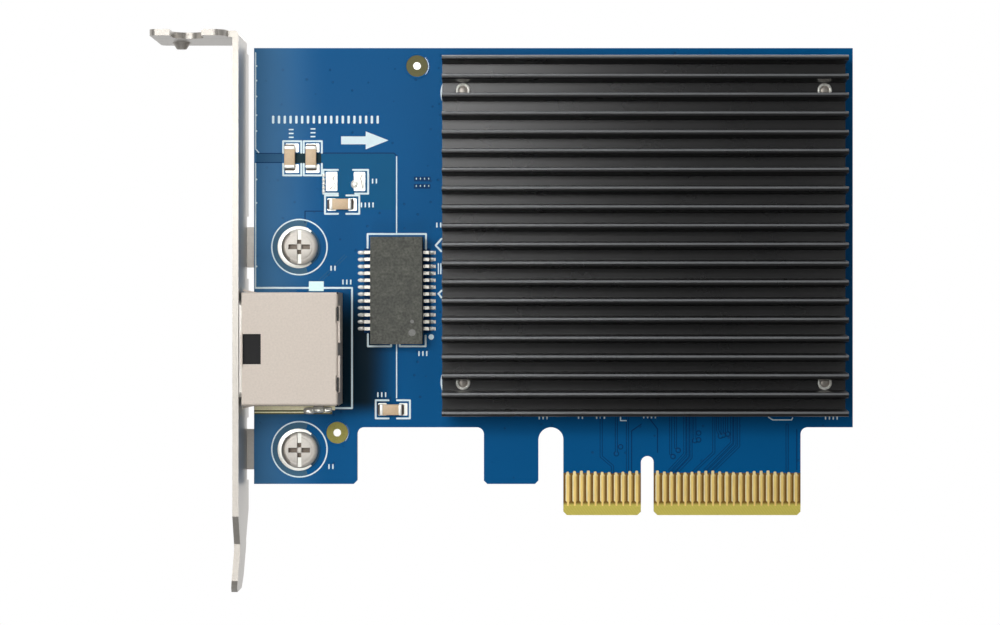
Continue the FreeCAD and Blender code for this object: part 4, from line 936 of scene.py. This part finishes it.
class CARD_OT_fiducials(bpy.types.Operator):
    """Make the two fiducials: bare laminate round a bright dot, in a rim of mask"""
    bl_idname = "card.fiducials"
    bl_label = "Fiducials"

    def execute(self, context):
        bare = size("fiducial")
        grounds = each("fiducial_ground", drum, [
            (*place, bare, 0, 0.012, 48, (0.012, 0.006, 1)) for place in FIDUCIALS])
        for ground, name in zip(grounds, ("olive_laminate", "yellow_laminate")):
            place_on(ground, "board", name)
        lay("fiducial_dots", "tin", "tin_plate", drum, [
            (*place, 0.56, 0, 0.05, 32, (0.05, 0.03)) for place in FIDUCIALS])
        rim = lay("fiducial_rims", "board", "raised_mask", ring, [
            (*place, bare + 0.24, bare - 0.04, 0, 0.09, 64, (0.09, 0.06, 3))
            for place in FIDUCIALS], degrees=60)
        second_finish(rim, "rim_mask", lambda centre, normal: any(
            centre.x - x > 1.2 and abs(centre.z - z) < 3 for x, z in FIDUCIALS))
        return {"FINISHED"}


class CARD_OT_contacts(bpy.types.Operator):
    """Finish the edge contacts in gold and add their plating stubs and uneven tops"""
    bl_idname = "card.contacts"
    bl_label = "Edge contacts"

    def execute(self, context):
        dress("contact_gold", "edge_contacts_front", "edge_contacts_rear")
        stubs = strokes("contact_stubs", [(x, 1.5, x, 2.0) for x in CONTACTS], 0.3, 0, 0.06)
        rises = (0.12, 0.3, 0.05, 0.22, 0.16, 0.02, 0.27, 0.1)
        tops = [(x - 0.06, 5.8, x - 0.06, 6.0 + rises[number * 3 % len(rises)])
                for number, x in enumerate(CONTACTS)]
        heads = strokes("contact_heads", tops, 0.42, 0, 0.075)
        place_on(join([stubs, heads], "contact_ends"), "gold", "contact_gold")
        return {"FINISHED"}


class CARD_OT_bracket(bpy.types.Operator):
    """Finish the folded bracket, and make the tinned lands under its screws"""
    bl_idname = "card.bracket"
    bl_label = "Bracket"

    def execute(self, context):
        dress("bracket_steel", "bracket")
        low, high = span("screw_rings")
        x, radius = (low[0] + high[0]) / 2, (high[0] - low[0]) / 2
        places = (high[2] - radius, low[2] + radius)
        land = lay("screw_lands", "tin", "tin_plate", ring, [
            (x - 0.19, z, radius - 0.04, 1.7, 0, 0.1, 64, (0.1, 0.05))
            for z in places], "screw_rings", degrees=SOFT)
        # The right part of each tinned land takes the ring mask's finish and the right part of each ring the
        # plain mask blue: painted shadow of the screw head.
        second_finish(land, "moat_mask", lambda centre, normal: centre.x - x > 1.3)
        moat = lay("screw_moats", "board", "moat_mask", ring, [
            (x, z, 3.9, 2.5, 0, 0.008) for z in places])
        second_finish(moat, "raised_mask", lambda centre, normal: centre.x - x > 0.9)
        return {"FINISHED"}


class CARD_OT_screws(bpy.types.Operator):
    """Make the two bracket screws with rounded heads, a slot and a cross recess"""
    bl_idname = "card.screws"
    bl_label = "Bracket screws"

    def execute(self, context):
        low, high = span("bracket_screw_upper")
        (x, _, z), radius = middle("bracket_screw_upper"), (high[0] - low[0]) / 2
        seat, top, tip = 0.12, FRONT - low[1], FRONT - high[1]
        head = drum("bracket_screw_1", x, z, radius, seat, top - 0.12, 72, (top - 0.12, 0.64, 6))
        crown = drum("screw_crown", x, z, 1.88, top - 0.4, top, 72, (top, 0.05))
        combine(head, crown, "UNION")
        shank = drum("screw_shank", x, z, 1.45, tip, seat, 40, (tip, 0.3, 1))

        # A slot right across, and under it a cross whose arms end in sloping walls.
        slot_floor, floor = low[1] + 0.3, low[1] + 1.0
        for name, left, right, deep, tall in (
                ("screw_slot", -0.31, 0.31, slot_floor, radius + 1),
                ("screw_slot_corner", -0.31, -0.22, low[1] + 0.66, radius + 1),
                ("screw_level_arm", -1.56, 1.56, floor, 0.35),
                ("screw_upright_arm", -0.3, 0.3, floor, 1.04)):
            combine(head, block(name, (x + left, low[1] - 1, z - tall), (x + right, deep, z + tall)))
        pip = block("screw_pip", (x - 0.34, slot_floor + 0.1, z - 0.46), (x + 0.34, floor + 0.2, z + 0.46))
        bevel_edges(pip, lambda a, b: max(a.y, b.y) < floor, 0.08, 1)
        screw = smooth(join([head, shank, pip], "bracket_screw_1"), 30)
        step = span("bracket_screw_lower")[0][2] - low[2]
        lower = copy(screw, "bracket_screw_2", 0, 0, step)
        for piece, place, node in ((screw, z, "bracket_screw_upper"),
                                   (lower, z + step, "bracket_screw_lower")):
            place_on(piece, "screw_steel", "screw_nickel", node)
            # The walls and floor of the cross recess get a dark brown finish: painted shade.
            second_finish(piece, "screw_recess", lambda centre, normal: (
                slot_floor + 0.02 < centre.y < floor + 0.01
                and abs(centre.x - x) < 1.6 and abs(centre.z - place) < 1.07
                and not (abs(centre.x - x) < 0.345 and abs(centre.z - place) < 0.47)))
            second_finish(piece, "slot_nickel", lambda centre, normal: (
                abs(centre.y - slot_floor) < 0.02 and abs(centre.x - x) < 0.32))
            # The left side of the head's rounded rim gets the darker dish finish: painted shade.
            second_finish(piece, "dish_steel", lambda centre, normal: (
                centre.x - x < -1.3 and math.hypot(centre.x - x, centre.z - place) > 1.9
                and normal.y < -0.1))
        return {"FINISHED"}


class CARD_OT_heatsink(bpy.types.Operator):
    """Make the finned heatsink with rounded tips, and its screws' dished ends"""
    bl_idname = "card.heatsink"
    bl_label = "Heatsink"

    def execute(self, context):
        dress("spacer_brass", "heatsink_spacers")
        dress("screw_nickel", "heatsink_screws")
        low, high = span("heatsink")
        root, thick = span("heatsink_screws")[0][1], size("fin_thick")
        top = FRONT - root
        base = block("heatsink_base", (low[0], root, low[2]), high)
        for hole in each("heatsink_hole", drum, [
                (*place, 1.06, FRONT - high[1] - 1, top + 1, 40) for place in SINK_SCREWS]):
            combine(base, hole)
        step = (high[2] - low[2] - thick) / (FINS - 1)

        def new_fin(place, *sides):
            """A fin with a rounded tip, thicker towards its root on the given sides."""
            z = low[2] + place * step
            fin = block(f"heatsink_fin_{place + 1}", (low[0], low[1], z), (high[0], root + 0.3, z + thick))
            bevel_edges(fin, lambda a, b: max(a.y, b.y) < low[1] + 0.001 and abs(a.z - b.z) < 0.001,
                        size("fin_round"), 6)
            for side in sides:
                select_edges(fin, lambda a, b: min(a.y, b.y) > root
                             and min((end.z - z - thick / 2) * side for end in (a, b)) > 0)
                bpy.ops.transform.translate(value=metres(0, 0, side * size("fin_taper")))
                done()
            return fin

        first, inner = new_fin(0, 1), new_fin(1, 1, -1)
        fins = [copy(inner, f"heatsink_fin_{n + 2}", 0, 0, n * step) for n in range(1, FINS - 2)]
        sink = join([base, first, inner, *fins, new_fin(FINS - 1, -1)], "heatsink_extrusion")
        smooth(sink, 40)
        place_on(sink, "black_anodised", "black_anodised", "heatsink")
        # The upper side of each fin tip gets a grey finish: a painted highlight.
        second_finish(sink, "worn_anodised", lambda centre, normal: (
            centre.y < low[1] + 0.5 and normal.y < -0.2 and normal.z > 0.05))

        lay("sink_screw_lips", "fastener_steel", "tin_plate", ring, [
            (*place, 1.02, 0.68, top - 0.1, top + 0.3, 40, (top + 0.3, 0.1, 3))
            for place in SINK_SCREWS], degrees=SOFT)
        bowls = [piece for number, place in enumerate(SINK_SCREWS, 1) for piece in (
            drum(f"sink_screw_bowl_{number}", *place, 0.72, top - 0.1, top + 0.03),
            bead(f"sink_screw_pip_{number}", *place, top + 0.03, 0.6, 0.14, 0.6, 20))]
        place_on(smooth(join(bowls, "sink_screw_bowls")), "fastener_steel", "dish_steel")
        return {"FINISHED"}


class CARD_OT_jack(bpy.types.Operator):
    """Finish the jack, and add its slits, its ground strip and its solder joints"""
    bl_idname = "card.jack"
    bl_label = "Jack"

    def execute(self, context):
        dress("shell_steel", "jack_shield")
        dress("black_plastic", "jack_housing")
        dress("gold_plate", "jack_contacts")
        dress("tin_plate", "jack_tails")
        dress("light_pipe", "light_pipe_upper", "light_pipe_lower")

        roof = FRONT - span("jack_shield")[0][1]
        heights = (roof - 0.3, roof + 0.012)
        lay("jack_slits", "shell_steel", "dark_gap", patch, [(*place, *heights) for place in (
            (-44.26, -44.0, 28.15, 30.2), (-44.26, -44.0, 18.2, 20.25),
            (-44.3, -44.06, 31.95, 32.2), (-44.3, -44.06, 16.2, 16.4))])

        lay("ground_strip", "tin", "strip_tin", patch, [
            (-56.85, -45.2, 15.22, 15.8, 0, 0.16, 0.05), (-56.85, -45.9, 14.8, 15.0, 0, 0.16, 0.05)])
        bed = patch("ground_strip_bed", -56.88, -45.6, 14.62, 15.9, 0, 0.02)
        place_on(bed, "board", "olive_laminate")
        lay("strip_solder", "tin", "solder", lump, [
            (-49.7, -48.0, 14.75, 15.5, 0.55, 0.12, 3), (-48.4, -46.7, 14.9, 15.75, 0.8, 0.14, 8),
            (-47.1, -45.6, 15.0, 15.6, 0.45, 0.1, 5)])
        lay("leg_covers", "board", "raised_mask", drum, [
            (*place, 0.84, -0.3, 0.01, 36, (0.01, 0.006, 1)) for place in SHELL_LEGS])

        # Solder fills the shell's leg holes and stands round every tail behind the board.
        leg, tail = FRONT - REAR - 0.5, FRONT - REAR - 0.62
        lay("jack_solder", "tin", "solder", drum, [
            *((*place, 0.79, leg, -0.4, 28, (leg, 0.3, 3)) for place in SHELL_LEGS),
            *((*place, 0.62, tail, tail + 0.64, 20, (tail, 0.38, 4)) for place in TAILS)], degrees=60)
        return {"FINISHED"}


class CARD_OT_magnetics(bpy.types.Operator):
    """Finish the magnetics module, its leads, their solder and its moulded marks"""
    bl_idname = "card.magnetics"
    bl_label = "Magnetics"

    def execute(self, context):
        dress("moulding", "magnetics_body")
        dress("lead_metal", "magnetics_leads")
        left, right, low, high = MAGNETICS
        top = FRONT - span("magnetics_body")[0][1]
        x, z = -33.95, 26.45
        dimple = ring("mould_dimple", x, z, 0.6, 0.5, top - 0.02, top + 0.025, 40, (top + 0.025, 0.02))
        place_on(smooth(dimple), "moulding", "moulding")
        lay("mould_marks", "moulding", "mould_mark", drum, [
            (x, z, 0.51, top - 0.05, top + 0.006, 32, (top + 0.006, 0.004, 1)),
            (x, z + 1.6, 0.26, top - 0.05, top + 0.01, 24, (top + 0.01, 0.008))])

        # Each lead shows a long bead of solder at its toe; a round bright bead where it bends is a painted
        # highlight of the bend.
        toe = bead("lead_toe_1", LEAD_TOES[0], LEAD_ROWS[0], 0.1, 0.5, 0.36, 0.28)
        knee_highlight = bead("lead_knee_1", LEAD_KNEE_HIGHLIGHTS[0], LEAD_ROWS[0], 1.86, 0.25, 0.24, 0.25)
        beads = [toe, knee_highlight]
        for first, places in ((toe, LEAD_TOES), (knee_highlight, LEAD_KNEE_HIGHLIGHTS)):
            spots = [(x - places[0], z - LEAD_ROWS[0]) for x in places for z in LEAD_ROWS]
            beads += [copy(first, f"{first.name[:-1]}{number}", aside, 0, up)
                      for number, (aside, up) in enumerate(spots[1:], 2)]
        place_on(smooth(join(beads, "lead_solder")), "tin", "bead_tin")
        # Darker mask under the rows of leads: painted shadow of the leads.
        lay("lead_shades", "board", "deep_mask", patch, [
            (x_low, x_high, low + 1.6, high - 1.6, 0, 0.008)
            for x_low, x_high in ((-41.0, left + 0.2), (right - 0.2, -31.4))])
        return {"FINISHED"}


class CARD_OT_chips(bpy.types.Operator):
    """Make the chip capacitors with rounded metal ends and solder, and the tinned bare pads"""
    bl_idname = "card.chips"
    bl_label = "Chip capacitors"

    def execute(self, context):
        (left, roof, bottom), (right, _, top) = span("chip_capacitor_1")
        x, _, z = middle("chip_capacitor_1")
        solder_height = size("solder_height")
        body = block("chip_body_1", (left + 0.03, roof + 0.03, bottom + 0.1),
                     (right - 0.03, FRONT - 0.05, top - 0.1))
        bevel_edges(body, lambda a, b: True, 0.07)
        ends, fillets = [], []
        for number, (side, edge) in enumerate(((-1, bottom), (1, top)), 1):
            inner, outer = edge - side * 0.52, edge + side * 0.32
            cap = block(f"chip_end_{number}", (left, roof, min(edge, inner)),
                        (right, FRONT - 0.03, max(edge, inner)))
            ends.append(bevel_edges(cap, lambda a, b: True, 0.14, 3))
            sunk = edge - side * 0.1
            fillet = block(f"chip_fillet_{number}", (left, FRONT - solder_height, min(sunk, outer)),
                           (right, FRONT, max(sunk, outer)))
            select_edges(fillet, lambda a, b: max(abs(a.z - outer), abs(b.z - outer), a.y - FRONT + 0.002,
                                                  b.y - FRONT + 0.002) < 0.001)
            bpy.ops.transform.translate(value=metres(0, solder_height - 0.16, 0))
            bpy.ops.transform.resize(value=(0.7, 1, 1), center_override=metres(x, 0, outer))
            done()
            fillets.append(bevel_edges(fillet, lambda a, b: min(a.y, b.y) < FRONT - 0.001, 0.08))
        rows = [[body], [join(ends, "chip_ends_1")], [join(fillets, "chip_fillets_1")]]
        for number, (node, (_, _, upright, _)) in enumerate(list(CHIPS.items())[1:], 2):
            far_x, _, far_z = middle(node)
            for row in rows:
                another = copy(row[0], f"{row[0].name[:-1]}{number}", far_x - x, 0, far_z - z)
                row.append(another if upright else quarter_turn(another, far_x, far_z))
        bodies, caps, solder = rows
        place_on(smooth(join(bodies, "chip_bodies")), "ceramic", "ceramic", *CHIPS)
        place_on(smooth(join(caps, "chip_ends")), "tin", "tin_plate")
        # The solder fillets at the chip ends are dark brown: painted shadow hugging the ends.
        place_on(smooth(join(solder, "chip_fillets")), "tin", "screw_recess")

        lay("chip_lands", "tin", "tin_plate", tile, [
            (*((x, z + end, 0.96, 0.62) if upright else (x + end, z, 0.62, 0.9)), 0, 0.14, 0.14)
            for x, z, upright, _ in CHIPS.values() for end in (-1.5, 1.5)], degrees=SOFT)
        dress("ceramic", "rear_capacitors")

        pads = []
        for number, (x, z) in enumerate(BARE_PADS, 1):
            pads.append(tile(f"bare_pad_{number}", x, z, 0.82, 1.38, 0, 0.14, 0.12))
            pads += each(f"bare_pad_{number}_swell", bead, [
                (x - 0.2, z + 0.5, 0.12, 0.55, 0.07, 0.8, 20), (x + 0.15, z - 0.5, 0.12, 0.6, 0.07, 0.8, 20)])
        creases = strokes("bare_pad_creases", PAD_CREASES, 0.14, 0.1, 0.27)
        pads.append(bead("bare_pad_bulge", -42.35, 47.9, 0, 0.58, 0.3, 0.62, 20))
        pads += each("bare_pad_spill", bead, [
            (-46.85, 48.2 + up, 0, 0.24, 0.16, 0.28) for up in (-1.35, -0.8, -0.2, 0.35, 1.0)])
        place_on(smooth(join(pads, "bare_pads"), 60), "tin", "tin_plate", "bare_solder_pads")
        place_on(creases, "tin", "dish_steel")
        return {"FINISHED"}


class CARD_OT_hidden(bpy.types.Operator):
    """Finish the parts under the heatsink"""
    bl_idname = "card.hidden_parts"
    bl_label = "Under the heatsink"

    def execute(self, context):
        dress("substrate", "controller_substrate")
        dress("lid_metal", "controller_lid", "crystal")
        dress("thermal_pad", "thermal_pad")
        dress("chip_plastic", "regulator", "flash_memory")
        dress("ferrite", "power_inductor_1", "power_inductor_2")
        return {"FINISHED"}


# ---------------------------------------------------------------------------
# Studio, in metres

# Name, width, height and place of each lamp, and where it points; without one, at the card.
LAMPS = (
    ("key", 0.12, 0.1, (-0.14, -0.3, 0.065), None),
    ("near", 0.04, 0.03, (-0.036, -0.2, 0.078), (-0.028, 0.0, 0.062)),
    ("left", 0.03, 0.05, (-0.056, -0.13, 0.055), (-0.05, 0.0, 0.045)),
    ("low", 0.04, 0.03, (-0.05, -0.12, -0.03), (-0.05, 0.0, 0.012)),
    ("right", 0.04, 0.06, (0.1, -0.2, 0.04), (0.06, 0.0, 0.03)),
    ("top", 0.12, 0.056, (-0.06, -0.03, 0.3), (-0.02, 0.0, 0.05)),
    ("rear", 0.4, 0.3, (0.2, 0.55, 0.3), None),
)
WHITE = (1, 1, 1, 1)


def studio_world(ambient):
    """White where the camera looks; the card and its gloss see a room with a bright top and back."""
    world = bpy.data.worlds.new("studio")
    world.use_nodes = True
    world.node_tree.nodes.clear()
    build = Tree(world.node_tree)
    x, y, z = build.axes(build.add("TexCoord").outputs["Generated"])
    room = build.plus(build.ramp(z, -0.05, 0.8), build.ramp(y, -0.05, 0.5))
    left = build.times(build.ramp(x, 0.0, -1.0), 0.3)
    room = build.plus(room, build.plus(left, 0.06), clamp=True)
    path = build.add("LightPath").outputs
    seen = build.plus(path["Is Camera Ray"], path["Is Transmission Ray"], clamp=True)
    glossy = build.math("MULTIPLY_ADD", path["Is Glossy Ray"], 1.0 - ambient, ambient)
    unseen = build.times(build.times(room, glossy), build.minus(1.0, seen))
    light = build.add("Background", {"Color": WHITE, "Strength": build.plus(seen, unseen)})
    build.add("OutputWorld", {"Surface": light.outputs[0]})
    return world


def floor_material():
    """Pale floor that keeps the card's shadow and turns plain white further out."""
    material, build, shader, point = new_material("studio_floor")
    principled, output = material.node_tree.nodes[:2]
    soft = mottle(build, point, 4.0, 0.004)
    tinted = build.shaded(colour("floor"), soft["Shade"])
    path = build.add("LightPath").outputs
    mirrored = build.times(path["Is Glossy Ray"], build.ramp(build.axes(point)[1], -0.02, 0.12))
    seen = build.plus(build.plus(path["Is Camera Ray"], mirrored), path["Is Transmission Ray"], clamp=True)
    build.feed(shader["Base Color"], build.mix(seen, (0.2, 0.2, 0.2), tinted))
    shader["Roughness"].default_value = 0.9
    away = build.add("VectorMath", {0: point}, operation="LENGTH").outputs["Value"]
    far = build.times(build.ramp(away, 0.25, 0.7), seen)
    glow = build.add("Emission", {"Color": WHITE, "Strength": 1.0})
    both = build.add("MixShader", {0: far, 1: principled.outputs[0], 2: glow.outputs[0]})
    build.feed(output.inputs["Surface"], both.outputs[0])
    return material


def area_lamp(name, power, wide, tall, place, aim):
    """A rectangular lamp that faces a point."""
    deselect()
    bpy.ops.object.light_add(type="AREA", location=place)
    lamp = bpy.context.object
    lamp.name = name
    lamp.data.shape = "RECTANGLE"
    lamp.data.energy, lamp.data.size, lamp.data.size_y = power, wide, tall
    lamp.rotation_euler = (Vector(aim) - Vector(place)).to_track_quat("-Z", "Y").to_euler()


class CARD_OT_stage(bpy.types.Operator):
    """Set the floor, world, lamps and camera"""
    bl_idname = "card.stage"
    bl_label = "Stage"

    def execute(self, context):
        scene = context.scene
        studio = scene.card_studio
        scene.world = studio_world(studio.ambient)

        deselect()
        bpy.ops.mesh.primitive_plane_add(
            size=2 * studio.floor_side, location=(0, 0, CARD_BOX[0].z - studio.floor_drop))
        floor = settle(take("studio_floor"))
        floor.data.materials.append(floor_material())

        centre = (CARD_BOX[0] + CARD_BOX[1]) / 2
        for name, wide, tall, place, aim in LAMPS:
            area_lamp(name, getattr(studio, f"{name}_power"), wide, tall, place, aim or centre)

        deselect()
        bpy.ops.object.camera_add(location=(-0.02134, -0.4648, 0.02934), rotation=FACING)
        camera = context.object
        camera.name = "catalogue_view"
        camera.data.sensor_width = 36.0
        camera.data.lens = studio.focal
        scene.camera = camera
        scene.view_settings.view_transform = "Standard"
        return {"FINISHED"}


OPERATORS = (
    CARD_OT_board, CARD_OT_tracks, CARD_OT_printing, CARD_OT_fiducials, CARD_OT_contacts,
    CARD_OT_bracket, CARD_OT_screws, CARD_OT_heatsink, CARD_OT_jack, CARD_OT_magnetics,
    CARD_OT_chips, CARD_OT_hidden, CARD_OT_stage,
)
GROUPS = {"card_colours": CardColours, "card_sizes": CardSizes, "card_studio": StudioSettings}


class CARD_PT_pieces(bpy.types.Panel):
    """Pieces, sizes and colours of the network card"""
    bl_idname = "CARD_PT_pieces"
    bl_label = "Network Card"
    bl_space_type = "VIEW_3D"
    bl_region_type = "UI"
    bl_category = "Network Card"

    def draw(self, context):
        for operator in OPERATORS:
            self.layout.operator(operator.bl_idname)
        for name, kind in GROUPS.items():
            box = self.layout.box()
            box.label(text=name.split("_")[1].title())
            for key in kind.__annotations__:
                box.prop(getattr(context.scene, name), key)


CLASSES = (*GROUPS.values(), *OPERATORS, CARD_PT_pieces)


def register():
    for item in CLASSES:
        bpy.utils.register_class(item)
    for name, kind in GROUPS.items():
        setattr(bpy.types.Scene, name, PointerProperty(type=kind))


def unregister():
    for name in GROUPS:
        delattr(bpy.types.Scene, name)
    for item in reversed(CLASSES):
        bpy.utils.unregister_class(item)


def main():
    """Builds every piece and the stage."""
    register()
    for operator in OPERATORS:
        group, name = operator.bl_idname.split(".")
        getattr(getattr(bpy.ops, group), name)()


if __name__ == "__main__":
    main()
